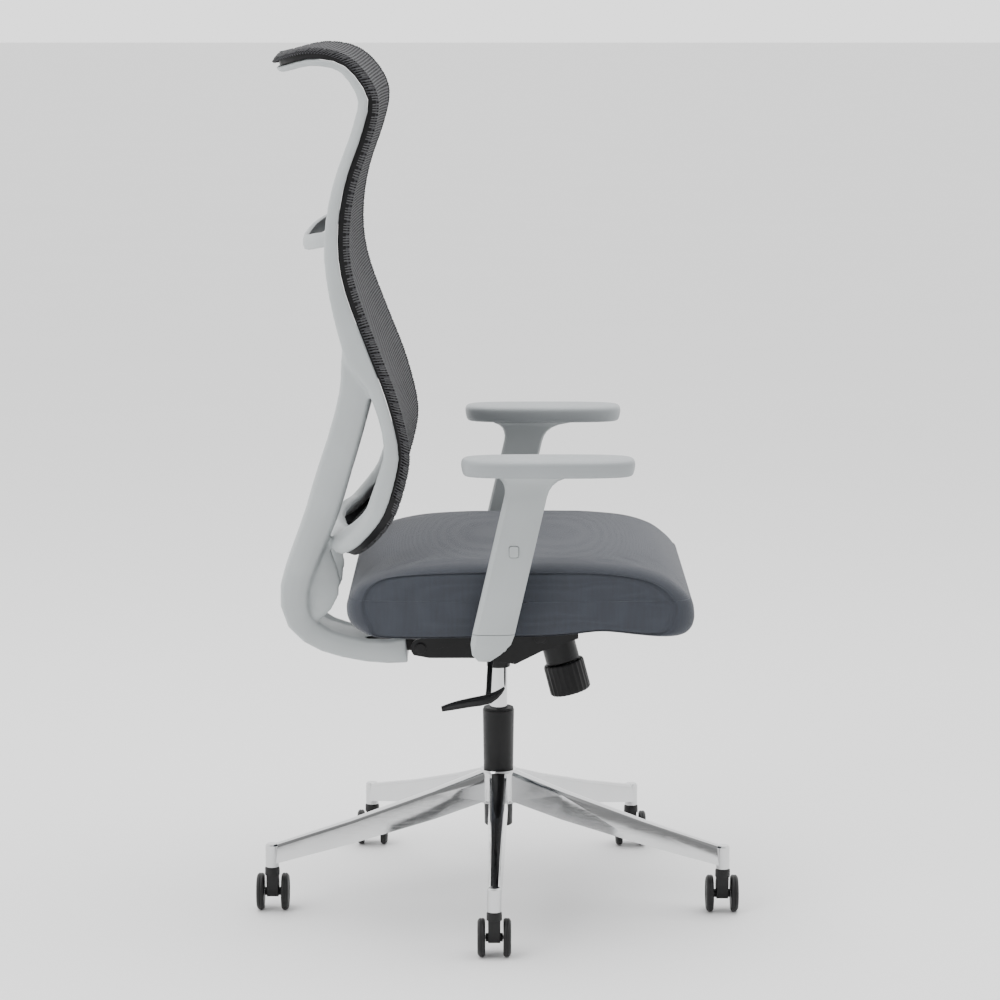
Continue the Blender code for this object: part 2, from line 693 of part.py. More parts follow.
def build_tension_set():
    """Knob, bolt with its pressure plate, and the recline spring between plate and cup."""
    axis = knob_axis()
    ribs, rib_depth = 24, 0.0012
    foot = -KNOB_LENGTH
    heights = ((foot, 0.91), (foot + 0.003, 1.0), (-0.004, 1.0), (-0.0015, 0.97), (-0.0004, 0.93))
    turn = Vector((0, 0, 1)).rotation_difference(axis).to_matrix()
    rings = []
    for height, share in heights:
        ring = []
        for k in range(2 * ribs):
            radius = share * (KNOB_R if k % 2 else KNOB_R - rib_depth)
            angle = math.tau * k / (2 * ribs)
            around = Vector((radius * math.cos(angle), radius * math.sin(angle), height))
            ring.append(KNOB_TOP + turn @ around)
        rings.append(ring)
    knob = node("tension_knob", loft(rings), PLASTIC_BLACK, KNOB_TOP, 20)
    bolt_foot, plate_low, plate_high, plate_r = -0.0295, 0.034, 0.037, 0.016
    bore = rod(BOLT_R + GAP, bolt_foot - 2 * GAP, CUT_PAST)
    boolean(knob, "DIFFERENCE", turned(bore, KNOB_TOP, axis, 12))

    bolt = (
        (0.0, bolt_foot),
        (BOLT_R, bolt_foot),
        (BOLT_R, plate_low),
        (plate_r, plate_low),
        (plate_r, plate_high),
        (0.0, plate_high),
    )
    node("tension_bolt", turned(bolt, KNOB_TOP, axis, 12), STEEL, KNOB_TOP)

    coil_r, wire_r, turns, per_turn, low, high = 0.0125, 0.0020, 4, 12, 0.0068, 0.0315
    rings = []
    for k in range(per_turn * turns + 1):
        angle = math.tau * k / per_turn
        rise = low + (high - low) * k / (per_turn * turns)
        outward = Vector((math.cos(angle), math.sin(angle), 0))
        around = arc((coil_r, rise), wire_r, 0, 288, 5)
        rings.append([KNOB_TOP + turn @ (outward * a + Vector((0, 0, b))) for a, b in around])
    node("recline_spring", loft(rings), STEEL, KNOB_TOP)


def build_levers():
    pivot = (LEVER_X, -HOUSING_HALF_WIDTH, LEVER_PIVOT_Z)
    route = (
        (LEVER_X, 0.005, 0.4027),
        (LEVER_X, -0.030, 0.4005),
        (LEVER_X, -0.060, LEVER_PIVOT_Z),
        (LEVER_X, -0.110, 0.377),
        (LEVER_X - 0.002, -0.165, 0.362),
        (LEVER_X - 0.003, -0.210, 0.3485),
        (LEVER_X - 0.004, -0.2350, 0.3405),
    )
    node("height_lever", tube(route, 0.004, 15), STEEL_BLACK, pivot)
    blade = (
        (-0.077, -0.254, 0.3265, 0.007, 0.014),
        (-0.060, -0.254, 0.3310, 0.010, 0.026),
        (-0.036, -0.254, 0.3360, 0.011, 0.034),
        (-0.014, -0.254, 0.3400, 0.012, 0.036),
        (0.000, -0.254, 0.3480, 0.008, 0.026),
        (0.008, -0.254, 0.3560, 0.003, 0.012),
    )
    node("height_lever_paddle", bar(blade, 9, 10, 2.6), PLASTIC_BLACK, pivot)

    lock_pivot = (LOCK_X, HOUSING_HALF_WIDTH, LEVER_PIVOT_Z)
    lock = (
        (LOCK_X, 0.046, 0.391, 0.007, 0.007),
        (LOCK_X, 0.100, 0.380, 0.007, 0.007),
        (LOCK_X, 0.170, 0.358, 0.007, 0.008),
        (LOCK_X, 0.200, 0.348, 0.008, 0.022),
        (LOCK_X, 0.245, 0.338, 0.008, 0.026),
        (LOCK_X, 0.262, 0.335, 0.005, 0.018),
    )
    node("tilt_lock_lever", bar(lock, 12, 8, 2.4, across=(1, 0, 0)), PLASTIC_BLACK, lock_pivot)


# ---- Seat ---------------------------------------------------------------------------------------


def seat_ring(outline, y, inset):
    """The cushion's outline at y, drawn in by inset, with the crown across the top."""
    shrink_x = 1 - inset / SEAT_HALF_LENGTH
    shrink_z = 1 - inset / SEAT_HALF_HEIGHT
    crown = SEAT_CROWN * (1 - (y / SEAT_HALF_WIDTH) ** 2)
    ring = []
    for x, z in outline:
        above = max(0.0, (z - SEAT_MIDDLE_Z) / SEAT_HALF_HEIGHT)
        ring_x = SEAT_MIDDLE_X + (x - SEAT_MIDDLE_X) * shrink_x
        ring_z = SEAT_MIDDLE_Z + (z - SEAT_MIDDLE_Z) * shrink_z + crown * above
        ring.append(Vector((ring_x, y, ring_z)))
    return ring


def build_seat():
    outline = spline(SEAT_OUTLINE, 43)[:-1]
    flat = SEAT_HALF_WIDTH - SEAT_EDGE_R
    half = [(share * flat, 0.0) for share in (0.3, 0.7)]
    half += [(flat + a, SEAT_EDGE_R - b) for b, a in arc((0, 0), SEAT_EDGE_R, 0, 80, 4)]
    sides = [(-y, inset) for y, inset in reversed(half)] + half
    rings = [seat_ring(outline, y, inset) for y, inset in sides]
    cushion = node("seat_cushion", loft(rings), SEAT_CLOTH, (TILT_X, 0, TILT_Z), 60)
    pocket_low = (POCKET_X[0], -POCKET_HALF_WIDTH, SHELL_BOTTOM_Z - 0.035)
    pocket = box(pocket_low, (POCKET_X[1], POCKET_HALF_WIDTH, POCKET_TOP_Z))
    boolean(cushion, "DIFFERENCE", pocket)

    half_x = (POCKET_X[1] - POCKET_X[0]) / 2 - 0.001
    centre_x = (POCKET_X[1] + POCKET_X[0]) / 2
    corners = rounded_rectangle(half_x, POCKET_HALF_WIDTH - 0.001, 0.030)
    shell = [(centre_x + a, b) for a, b in corners]
    plate = prism(shell, "Z", SHELL_BOTTOM_Z, POCKET_TOP_Z - 2 * GAP)
    node("seat_shell", plate, PLASTIC_BLACK, (TILT_X, 0, TILT_Z))


# ---- Arms ---------------------------------------------------------------------------------------


def arm_axis():
    lean = math.radians(ARM_LEAN_DEG)
    return Vector((math.sin(lean), 0, math.cos(lean)))


def arm_point(side, rise, forward, out):
    """A point on an arm: rise above the seam, forward of the leaning middle line, out from its middle."""
    lean = arm_axis()
    x = ARM_SEAM.x + lean.x / lean.z * rise + forward
    return Vector((x, side * (ARM_Y + out), ARM_SEAM.z + rise))


def arm_ring(side, rise, rear, front, thick):
    """One level ring of the sleeve: flat inside, a shallow ridge outside."""
    width, half = front - rear, thick / 2
    outline = (
        (rear + 0.003, -half),
        (front - 0.003, -half),
        (front, -half + 0.003),
        (front, half * 0.45),
        (front - 0.006, half * 0.80),
        (rear + width * 0.57, half),
        (rear + 0.006, half * 0.86),
        (rear, half * 0.50),
        (rear, -half + 0.003),
    )
    return [arm_point(side, rise, a, b) for a, b in outline]


def build_arm(name, side):
    half = ARM_WIDTH / 2
    bracket_rings = [
        arm_ring(side, -0.0375, -0.012, 0.004, 0.012),
        arm_ring(side, -0.0280, -half + 0.006, half - 0.013, 0.022),
        arm_ring(side, -0.0140, -half + 0.001, half - 0.002, 0.026),
        arm_ring(side, -GAP, -half, half, ARM_THICK),
    ]
    bracket = node(f"{name}_bracket", loft(bracket_rings), PLASTIC_GREY)
    strap = (
        (-0.010, 0.112, 0.4295, 0.052, 0.0095),
        (-0.010, 0.148, 0.4295, 0.052, 0.0095),
        (-0.010, 0.172, 0.4245, 0.052, 0.0095),
        (-0.010, 0.194, 0.4155, 0.048, 0.0095),
        (-0.010, 0.225, 0.4130, 0.045, 0.0095),
        (-0.010, 0.270, 0.4130, 0.042, 0.0095),
    )
    boolean(bracket, "UNION", bar(strap, 10, 12, 6.0, side, across=(0, 0, 1)))
    post_half, post_thick = ARM_POST_WIDTH / 2, ARM_POST_THICK / 2
    section = [(a * post_half, b * post_thick) for a, b in ((-1, -1), (1, -1), (1, 1), (-1, 1))]
    post = loft([[arm_point(side, rise, a, b) for a, b in section] for rise in (0.0, 0.160)])
    node(f"{name}_post", post, STEEL_BLACK)

    sleeve_rings = [
        arm_ring(side, GAP, -half, half, ARM_THICK),
        arm_ring(side, 0.1880, -half, half, ARM_THICK),
        arm_ring(side, 0.1960, -half - 0.001, half + 0.001, 0.027),
        arm_ring(side, 0.2030, -half - 0.004, half + 0.004, 0.029),
        arm_ring(side, 0.2090, -half - 0.008, half + 0.010, 0.033),
        arm_ring(side, 0.2135, -half - 0.014, half + 0.019, 0.038),
        arm_ring(side, 0.2175, -half - 0.023, half + 0.036, 0.046),
    ]
    sleeve = node(f"{name}_sleeve", loft(sleeve_rings), PLASTIC_GREY)
    play = 0.0005
    hole = [(a + math.copysign(play, a), b + math.copysign(play, b)) for a, b in section]
    cavity = loft([[arm_point(side, rise, a, b) for a, b in hole] for rise in (-0.01, 0.168)])
    boolean(sleeve, "DIFFERENCE", cavity)
    button_at = arm_point(side, 0.114, 0.001, 0.0)
    recess_span = sorted((side * BUTTON_FLOOR_Y, side * (BUTTON_FACE_Y + CUT_PAST)))
    recess = prism(button_outline(button_at, 0.0004), "Y", *recess_span)
    boolean(sleeve, "DIFFERENCE", recess)
    button_span = sorted((side * (BUTTON_FLOOR_Y + 0.0022), side * BUTTON_FACE_Y))
    button = prism(button_outline(button_at, 0.0), "Y", *button_span)
    node(f"{name}_height_button", button, PLASTIC_GREY, button_at)
    build_arm_pad(f"{name}_pad", side)


def button_outline(at, grow):
    corners = rounded_rectangle(0.0062 + grow, 0.0075 + grow, 0.0025, 3)
    return [(at.x + a, at.z + b) for a, b in corners]


def build_arm_pad(name, side):
    """Soft arm rest: flat with a small chamfer below, crowned above, generous round corners."""
    centre_x, half_x = sum(PAD_X) / 2, (PAD_X[1] - PAD_X[0]) / 2
    low, high = PAD_Z
    levels = (
        (low, 0.006),
        (low + 0.003, 0.002),
        (low + 0.012, 0.0),
        (high - 0.006, 0.0003),
        (high - 0.0015, 0.0025),
        (high, 0.009),
    )
    rings = []
    for z, inset in levels:
        outline = rounded_rectangle(half_x - inset, PAD_HALF_WIDTH - inset, 0.034 - inset, 6)
        rings.append([Vector((centre_x + a, side * PAD_Y + b, z)) for a, b in outline])
    node(name, loft(rings), PAD_GREY)


# ---- Back ---------------------------------------------------------------------------------------


class BackSurface:
    """The mesh's front face: a profile down the back, s metres from the headrest's tip, and y across it."""

    def __init__(self):
        self.table = spline(BACK_PROFILE, 421)
        steps = np.hypot(*np.diff(self.table[:, :2], axis=0).T)
        self.along = np.concatenate([[0], np.cumsum(steps)])
        self.length = self.along[-1]
        top_turn = np.radians(np.linspace(0, 90, 6))
        bottom_turn = np.radians(np.linspace(90, 0, 7))
        self.top_corner = [(TOP_CORNER_R * (1 - math.cos(a)), a) for a in top_turn]
        self.bottom_corner = [(self.length - BOTTOM_CORNER_R * (1 - math.cos(a)), a) for a in bottom_turn]
        self.sides = np.linspace(TOP_CORNER_R, self.length - BOTTOM_CORNER_R, 33)[1:-1]

    def read(self, s):
        """x, z, half width and bow at s."""
        return [np.interp(s, self.along, column) for column in self.table.T]

    def point(self, s, y):
        inside = min(max(s, 0.0), self.length)
        x, z, half, bow = self.read(inside)
        return Vector((x - bow * (1 - (y / half) ** 2), y, z))

    def slopes(self, s, y):
        """Unit vectors down the back and across it."""
        step = 0.004
        low, high = max(s - step, 0.0), min(s + step, self.length)
        down = (self.point(high, y) - self.point(low, y)).normalized()
        over = (self.point(s, y + step) - self.point(s, y - step)).normalized()
        return down, over

    def rearward(self, s, y):
        down, over = self.slopes(s, y)
        return down.cross(over).normalized() * -1

    def half_width(self, s):
        """Half width of the panel at s, with its round corners."""
        half = self.read(s)[2]
        for reach, radius in ((s, TOP_CORNER_R), (self.length - s, BOTTOM_CORNER_R)):
            if reach < radius:
                half -= radius - math.sqrt(max(radius**2 - (radius - reach) ** 2, 0.0))
        return half

    def outline(self):
        """Stations round the panel from the top's middle: s, y, and the way out as down and over."""
        left = [(0.0, y, -1.0, 0.0) for y in (0.03, 0.09)]
        for s, angle in self.top_corner:
            y = self.read(s)[2] - TOP_CORNER_R * (1 - math.sin(angle))
            left.append((s, y, -math.cos(angle), math.sin(angle)))
        for s in self.sides:
            left.append((s, self.read(s)[2], 0.0, 1.0))
        for s, angle in self.bottom_corner:
            y = self.read(s)[2] - BOTTOM_CORNER_R * (1 - math.sin(angle))
            left.append((s, y, math.cos(angle), math.sin(angle)))
        left += [(self.length, y, 1.0, 0.0) for y in (0.09, 0.03)]
        right = [(s, -y, down, -over) for s, y, down, over in reversed(left)]
        return left + right

    def loop(self, section_of):
        """A closed ring round the panel. section_of(z) gives (outward, depth) pairs."""
        rings = []
        for s, y, out_down, out_over in self.outline():
            down, over = self.slopes(s, y)
            rear = self.rearward(s, y)
            centre = self.point(s, y)
            out = (down * out_down + over * out_over).normalized()
            rings.append([centre + out * a + rear * b for a, b in section_of(centre.z)])
        return loft(rings, loop=True)


def carrier_section(_z):
    near, far = CARRIER_DEPTH
    return ((0.0, near), (0.0, far), (-CARRIER_WIDTH, far), (-CARRIER_WIDTH, near))


def rail_section(z):
    """Frame rail: a ridge along its outer face, a soft rear and a flat front for the carrier."""
    heights, depths, widths = np.array(RAIL_SIZES).T
    depth, width = np.interp(z, heights, depths), np.interp(z, heights, widths)
    # share of the width inwards, share of the depth rearwards
    outline = (
        (0.0, 0.0),
        (-0.06, 0.10),
        (0.0, 0.40),
        (0.10, 0.72),
        (0.30, 0.95),
        (0.50, 1.0),
        (0.78, 1.0),
        (0.94, 0.84),
        (1.0, 0.55),
        (1.0, 0.0),
    )
    return [(RAIL_OVERHANG - width * a, RAIL_FRONT_DEPTH + depth * b) for a, b in outline]


def mesh_panel(back):
    """The sheet itself, one thickness deep, following the back from edge to edge."""
    inset, columns = 0.0010, 8
    corners = [s for s, _ in back.top_corner[1:]], [s for s, _ in back.bottom_corner[:-1]]
    rows = [inset, *corners[0], *back.sides, *corners[1], back.length - inset]
    faces = []
    for depth in (0.0, MESH_THICK):
        grid = []
        for s in rows:
            half = back.half_width(s) - inset
            line = []
            for share in np.linspace(-1, 1, columns + 1):
                line.append(back.point(s, share * half) + back.rearward(s, share * half) * depth)
            grid.append(line)
        faces.append(grid)
    front, rear = faces
    return loft([near + far[::-1] for near, far in zip(front, rear)])


def build_back_frame(back):
    frame = node("back_frame", back.loop(rail_section), PLASTIC_GREY, (RECLINE_X, 0, RECLINE_Z), 30)
    for side in (-1, 1):
        boolean(frame, "UNION", bar(UPRIGHT, 22, 12, 3.6, side))
        boolean(frame, "UNION", bar(GUSSET, 8, 8, 3.6, side))
    boolean(frame, "UNION", bar(SPINE, 11, 12, 6.0))
    valley = turned(rod(CROTCH_R, -0.050, 0.050), (SPINE[0][0], 0, CROTCH_Z), (1, 0, 0), 24)
    boolean(frame, "DIFFERENCE", valley)
    grip_y, grip_z = BACK_ARM_HALF_WIDTH + 0.0005, BACK_ARM_HALF_THICK + 0.0005
    socket = box(
        (BACK_ARM_REAR_X - 0.0005, -grip_y, RECLINE_Z - grip_z),
        (-0.120, grip_y, RECLINE_Z + grip_z),
    )
    for side in (-1, 1):
        # shallow slot under the bend
        low, high = sorted((side * 0.012, side * 0.034))
        slot = box((-0.020, low, -0.010), (0.020, high, 0.010))
        turn = Matrix.Rotation(math.radians(38), 4, "Y")
        bmesh.ops.transform(slot, matrix=Matrix.Translation((-0.283, 0, 0.393)) @ turn, verts=slot.verts)
        boolean(frame, "DIFFERENCE", slot)
    boolean(frame, "DIFFERENCE", socket)


def build_back():
    back = BackSurface()
    pivot = (RECLINE_X, 0, RECLINE_Z)
    build_back_frame(back)
    node("mesh_carrier", back.loop(carrier_section), PLASTIC_BLACK, pivot)
    node("back_mesh", mesh_panel(back), MESH_CLOTH, pivot, 60)
    far_half = [(x, -y, z, depth, tall) for x, y, z, depth, tall in reversed(HANGER[:-1])]
    hanger = bar([*HANGER, *far_half], 15, 10, 3.2, across=(0, 0, 1))
    node("hanger_rail", hanger, PLASTIC_GREY, pivot)


def main():
    clear_scene()
    build_star_base()
    for number, direction in enumerate(leg_directions(), 1):
        build_caster(f"caster_{number}", direction * CASTER_CIRCLE_R)
    build_lift()
    build_housing()
    build_pins()
    build_seat_plate()
    build_back_arm()
    build_tension_set()
    build_levers()
    build_seat()
    for side_name, side in SIDES:
        build_arm(f"arm_{side_name}", side)
    build_back()


main()
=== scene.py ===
"""Looks of a high-back office chair with a mesh back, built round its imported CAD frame.

Metres. +X is the way the sitter faces, +Y is the sitter's left, +Z is up.
"""

import json
import math

import bmesh
import bpy
import numpy as np
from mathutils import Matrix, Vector


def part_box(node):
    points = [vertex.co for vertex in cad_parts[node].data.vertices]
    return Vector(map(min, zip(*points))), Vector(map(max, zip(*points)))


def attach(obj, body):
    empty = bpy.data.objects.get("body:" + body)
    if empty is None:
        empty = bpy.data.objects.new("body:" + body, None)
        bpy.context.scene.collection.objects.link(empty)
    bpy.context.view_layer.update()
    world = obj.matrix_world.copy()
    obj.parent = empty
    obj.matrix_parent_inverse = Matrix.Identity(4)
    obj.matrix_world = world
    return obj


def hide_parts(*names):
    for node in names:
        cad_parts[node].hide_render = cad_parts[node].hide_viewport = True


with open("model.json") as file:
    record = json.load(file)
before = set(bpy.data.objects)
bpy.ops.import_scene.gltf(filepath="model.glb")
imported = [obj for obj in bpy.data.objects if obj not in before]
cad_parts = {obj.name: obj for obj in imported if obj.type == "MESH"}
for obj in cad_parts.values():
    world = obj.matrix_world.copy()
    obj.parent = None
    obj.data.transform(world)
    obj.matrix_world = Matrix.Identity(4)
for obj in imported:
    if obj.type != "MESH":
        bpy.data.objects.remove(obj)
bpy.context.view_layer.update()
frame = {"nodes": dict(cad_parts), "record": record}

SIDES = (("right", -1), ("left", 1))
CASTERS = range(1, 6)
WELD = 0.00001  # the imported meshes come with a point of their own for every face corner

# Rigid parts
BEVEL_WIDTH = 0.0009
BEVEL_SHARE = 0.05  # a bevel's most, as a share of its part's smallest side
LIFT_TUBE_FOOT_R = 0.0200
LIFT_TUBE_WALL = 0.0016
LIFT_NECK_HEIGHT = 0.052  # the cylinder's taper into the mechanism

# Seat
SEAT_RING_POINTS = 140
SEAT_DRAW_IN = 0.25  # evens out the outline's length and height while it is read by angle
SEAT_START_INSET = 0.002  # the cover starts a little small and is swelled to size
SEAT_CROWN = 0.004
SEAT_EDGE_R = 0.024
SEAT_SIDE_BULGE = 0.004
SEAT_HELD_HEIGHT = 0.010
ROLL_TURNS_DEG = (8, 16, 28, 42, 58, 74, 90)
TOP_ROWS = 30
SIDE_PANEL_SHARES = (0.06, 0.2, 0.35, 0.5, 0.64, 0.76, 0.86, 0.93, 0.975)
SEAM_DEPTH = 0.0034
SEAM_RIDGE = 0.0016
# cover's side outline at its crown, from the lower rear corner over the top: x, z
SEAT_OUTLINE = (
    (-0.1650, 0.4217), (-0.1980, 0.4350), (-0.2090, 0.4560), (-0.2070, 0.4750), (-0.1930, 0.4965),
    (-0.1620, 0.5130), (-0.1190, 0.5235), (-0.0600, 0.5285), (0.0000, 0.5300), (0.0600, 0.5305),
    (0.1000, 0.5300), (0.1400, 0.5285), (0.1900, 0.5230), (0.2250, 0.5120), (0.2468, 0.4970),
    (0.2625, 0.4800), (0.2695, 0.4600), (0.2670, 0.4375), (0.2500, 0.4220), (0.2080, 0.4225),
    (0.1500, 0.4315), (0.0900, 0.4260), (0.0400, 0.4227), (-0.0600, 0.4220),
)
# side panel's sewn edge: x, z
SEAT_SEAM = (
    (-0.160, 0.424), (-0.167, 0.432), (-0.178, 0.452), (-0.182, 0.472), (-0.176, 0.493),
    (-0.160, 0.507), (-0.133, 0.512), (-0.079, 0.515), (-0.025, 0.516), (0.056, 0.516),
    (0.137, 0.515), (0.191, 0.508), (0.221, 0.496), (0.239, 0.475), (0.241, 0.458),
    (0.235, 0.438), (0.224, 0.428), (0.212, 0.426), (0.150, 0.434), (0.060, 0.426),
)
PUFF_LIMIT = 0.0010  # the furthest a point may move: more wrinkles the front and softens the seam
PUFF_PRESSURE = 3.0
PUFF_FRAMES = 20

# Mesh back
MESH_STANDOFF = 0.0004
MESH_FRONT_SLOPE = 0.12  # a face turned less than this towards the sitter isn't the mesh's front
MESH_SIDE_SLOPE = 0.8
RIM_POINTS = 720
RIB_PITCH = 0.0042
WAVE_REPEAT = math.tau / 20  # the wave texture's own period, at a scale of 1
RIB_SCALE = WAVE_REPEAT / RIB_PITCH
CROSS_THREADS = 1.7  # cross threads to each rib
RIB_WIDTH = 0.0017
RIB_HEIGHT = 0.0007
HEM_DEPTH = 0.0125
HEM_INSET = 0.006

# Arm pads
PAD_CORNER_POWER = 3.4
PAD_RING_POINTS = 64

# Frame moulding
MOULDING_VOXEL = 0.0024
MOULDING_SMOOTHING = 5

# Room
FLOOR_HALF = 60.0
ROOM_DIM = 0.30
ROOM_BRIGHT = 1.9

# Camera: the photograph's viewpoint
CAMERA_AT = (0.0022, -4.825, 1.318)
CAMERA_PITCH_DEG = -8.754
CAMERA_LENS_MM = 123.58
SENSOR_MM = 36.0


# ---- Node materials ------------------------------------------------------------------------------


class Look:
    """A Principled material with short calls for the nodes that feed it."""

    def __init__(self, name, colour, roughness, metallic=0.0, **sockets):
        self.material = bpy.data.materials.new(name)
        self.material.use_nodes = True
        self.tree = self.material.node_tree
        self.shader = self.tree.nodes["Principled BSDF"]
        self.colour = (*colour, 1.0)
        self.shader.inputs["Base Color"].default_value = self.colour
        self.shader.inputs["Roughness"].default_value = roughness
        self.shader.inputs["Metallic"].default_value = metallic
        for socket, value in sockets.items():
            self.shader.inputs[socket.replace("_", " ")].default_value = value
        coordinates = self.tree.nodes.new("ShaderNodeTexCoord")
        self.place = coordinates.outputs["Object"]

    def add(self, kind, settings=None, **inputs):
        node = self.tree.nodes.new(kind)
        for name, value in (settings or {}).items():
            setattr(node, name, value)
        for name, value in inputs.items():
            self.feed(node.inputs[name.replace("_", " ")], value)
        return node

    def feed(self, socket, value):
        if isinstance(value, bpy.types.NodeSocket):
            self.tree.links.new(value, socket)
        else:
            socket.default_value = value

    def scaled(self, place, scale):
        """Coordinates stretched along each axis."""
        mapping = self.add("ShaderNodeMapping", Vector=place)
        mapping.inputs["Scale"].default_value = scale
        return mapping.outputs["Vector"]

    def noise(self, scale, detail=3.0, roughness=0.5, place=None):
        node = self.add(
            "ShaderNodeTexNoise",
            Vector=place or self.place,
            Scale=scale,
            Detail=detail,
            Roughness=roughness,
        )
        return node.outputs["Fac"]

    def wave(self, scale, direction, place, distortion=0.0):
        settings = {"wave_type": "BANDS", "bands_direction": direction}
        node = self.add("ShaderNodeTexWave", settings, Vector=place, Scale=scale, Distortion=distortion)
        return node.outputs["Fac"]

    def math(self, operation, a, b):
        node = self.add("ShaderNodeMath", {"operation": operation})
        self.feed(node.inputs[0], a)
        self.feed(node.inputs[1], b)
        return node.outputs["Value"]

    def spread(self, value, low, high, from_low=0.3, from_high=0.7):
        """A 0 to 1 pattern turned into a range of values."""
        node = self.add("ShaderNodeMapRange", Value=value)
        node.inputs["From Min"].default_value = from_low
        node.inputs["From Max"].default_value = from_high
        node.inputs["To Min"].default_value = low
        node.inputs["To Max"].default_value = high
        return node.outputs["Result"]

    def shade(self, value, dark, light):
        """The base colour, from dark to light times itself as the pattern rises."""
        ramp = self.add("ShaderNodeValToRGB", Fac=value)
        for stop, share in zip(ramp.color_ramp.elements, (dark, light)):
            stop.color = (*[min(1.0, c * share) for c in self.colour[:3]], 1.0)
        ramp.color_ramp.elements[0].position = 0.25
        ramp.color_ramp.elements[1].position = 0.75
        self.feed(self.shader.inputs["Base Color"], ramp.outputs["Color"])

    def rough(self, value, low, high):
        self.feed(self.shader.inputs["Roughness"], self.spread(value, low, high))

    def bump(self, value, distance, strength=1.0):
        node = self.add("ShaderNodeBump", Height=value, Distance=distance, Strength=strength)
        self.feed(self.shader.inputs["Normal"], node.outputs["Normal"])


def moulded_plastic(name, colour, roughness, specular=0.5, grain=1400, depth=0.00003, tint=0.06):
    """Textured moulding: fine spark grain, with a little unevenness in colour and sheen."""
    look = Look(name, colour, roughness, Specular_IOR_Level=specular)
    broad = look.noise(9.0, 2.0)
    look.shade(broad, 1 - tint, 1 + tint)
    look.rough(look.noise(160.0, 4.0), roughness - 0.05, roughness + 0.07)
    look.bump(look.noise(grain, 2.0), depth)
    return look.material


def polished_aluminium():
    """Polished casting: near-mirror, with faint buffing streaks and a trace of waviness."""
    look = Look("polished_aluminium_cast", (0.60, 0.605, 0.61), 0.09, 1.0)
    streaks = look.noise(60.0, 5.0, 0.6, look.scaled(look.place, (1.0, 1.0, 9.0)))
    look.shade(look.noise(14.0, 2.0), 0.94, 1.0)
    look.rough(streaks, 0.05, 0.14)
    look.bump(look.noise(28.0, 2.0), 0.0002, 0.5)
    return look.material


def chrome():
    """Hard chrome of the lift, ground to a mirror."""
    look = Look("hard_chrome", (0.62, 0.625, 0.63), 0.05, 1.0)
    fine = look.noise(420.0, 3.0, 0.5, look.scaled(look.place, (1.0, 1.0, 0.05)))
    look.shade(look.noise(20.0, 2.0), 0.96, 1.0)
    look.rough(fine, 0.03, 0.08)
    look.bump(fine, 0.00001)
    return look.material


def plain_steel():
    """Bare turned steel, dull next to the chrome."""
    look = Look("plain_steel", (0.50, 0.50, 0.52), 0.3, 1.0)
    look.shade(look.noise(40.0, 3.0), 0.85, 1.05)
    look.rough(look.noise(300.0, 4.0), 0.24, 0.4)
    look.bump(look.noise(900.0, 2.0), 0.00002)
    return look.material


def coated_steel():
    """Powder coat: black with a fine orange peel."""
    look = Look("black_powder_coat", (0.006, 0.006, 0.0065), 0.38, Specular_IOR_Level=0.25)
    look.shade(look.noise(30.0, 2.0), 0.85, 1.2)
    look.rough(look.noise(220.0, 3.0), 0.32, 0.46)
    look.bump(look.noise(650.0, 2.0), 0.00005)
    return look.material


def seat_cloth():
    """Close woven upholstery: crossed threads, slubs running down the side, a soft sheen."""
    look = Look(
        "seat_weave", (0.037, 0.042, 0.054), 0.86, Sheen_Weight=0.18, Sheen_Roughness=0.45
    )
    warp = look.wave(330.0, "X", look.place, 0.6)
    weft = look.wave(330.0, "Y", look.place, 0.6)
    rise = look.wave(330.0, "Z", look.place, 0.6)
    weave = look.math("MULTIPLY", look.math("MAXIMUM", warp, weft), look.math("ADD", rise, 0.6))
    slubs = look.noise(70.0, 3.0, 0.6, look.scaled(look.place, (4.0, 4.0, 0.35)))
    tone = look.math("ADD", look.math("MULTIPLY", slubs, 0.75), look.math("MULTIPLY", weave, 0.2))
    look.shade(tone, 0.78, 1.22)
    look.rough(slubs, 0.80, 0.93)
    look.bump(look.math("ADD", weave, look.math("MULTIPLY", slubs, 0.8)), 0.00022, 0.8)
    return look.material


def pad_skin():
    """Soft polyurethane skin with a fine leather grain."""
    look = Look("pad_skin", (0.31, 0.33, 0.34), 0.5)
    cells = look.add("ShaderNodeTexVoronoi", {"feature": "DISTANCE_TO_EDGE"}, Vector=look.place, Scale=520.0)
    grain = look.math("MINIMUM", cells.outputs["Distance"], 0.25)
    look.shade(look.noise(11.0, 2.0), 0.95, 1.05)
    look.rough(look.noise(120.0, 3.0), 0.46, 0.58)
    look.bump(grain, 0.00012, 0.6)
    return look.material


def open_mesh():
    """Knitted elastic mesh: ribs across the back, fine cross threads, slightly see-through gaps."""
    look = Look("back_knit", (0.019, 0.019, 0.0205), 0.85, Specular_IOR_Level=0.2)
    threads = look.add("ShaderNodeUVMap", {"uv_map": "weave"}).outputs["UV"]
    ribs = look.wave(RIB_SCALE, "Y", threads)
    cross = look.wave(RIB_SCALE * CROSS_THREADS, "X", threads, 0.4)
    knit = look.math("MAXIMUM", look.math("POWER", ribs, 1.4), look.math("MULTIPLY", cross, 0.5))
    look.shade(knit, 0.25, 3.6)
    look.rough(look.noise(200.0, 3.0), 0.78, 0.92)
    look.bump(knit, 0.0006, 0.8)
    solid = look.spread(knit, 0.86, 1.0, 0.12, 0.34)
    look.feed(look.shader.inputs["Alpha"], solid)
    return look.material


def hem_cloth():
    """Dark thread of the raised ribs along the mesh's edge."""
    look = Look("mesh_hem_tape", (0.060, 0.060, 0.063), 0.8)
    look.shade(look.noise(300.0, 3.0), 0.7, 1.5)
    look.rough(look.noise(200.0, 3.0), 0.72, 0.88)
    look.bump(look.noise(900.0, 2.0), 0.0001)
    return look.material


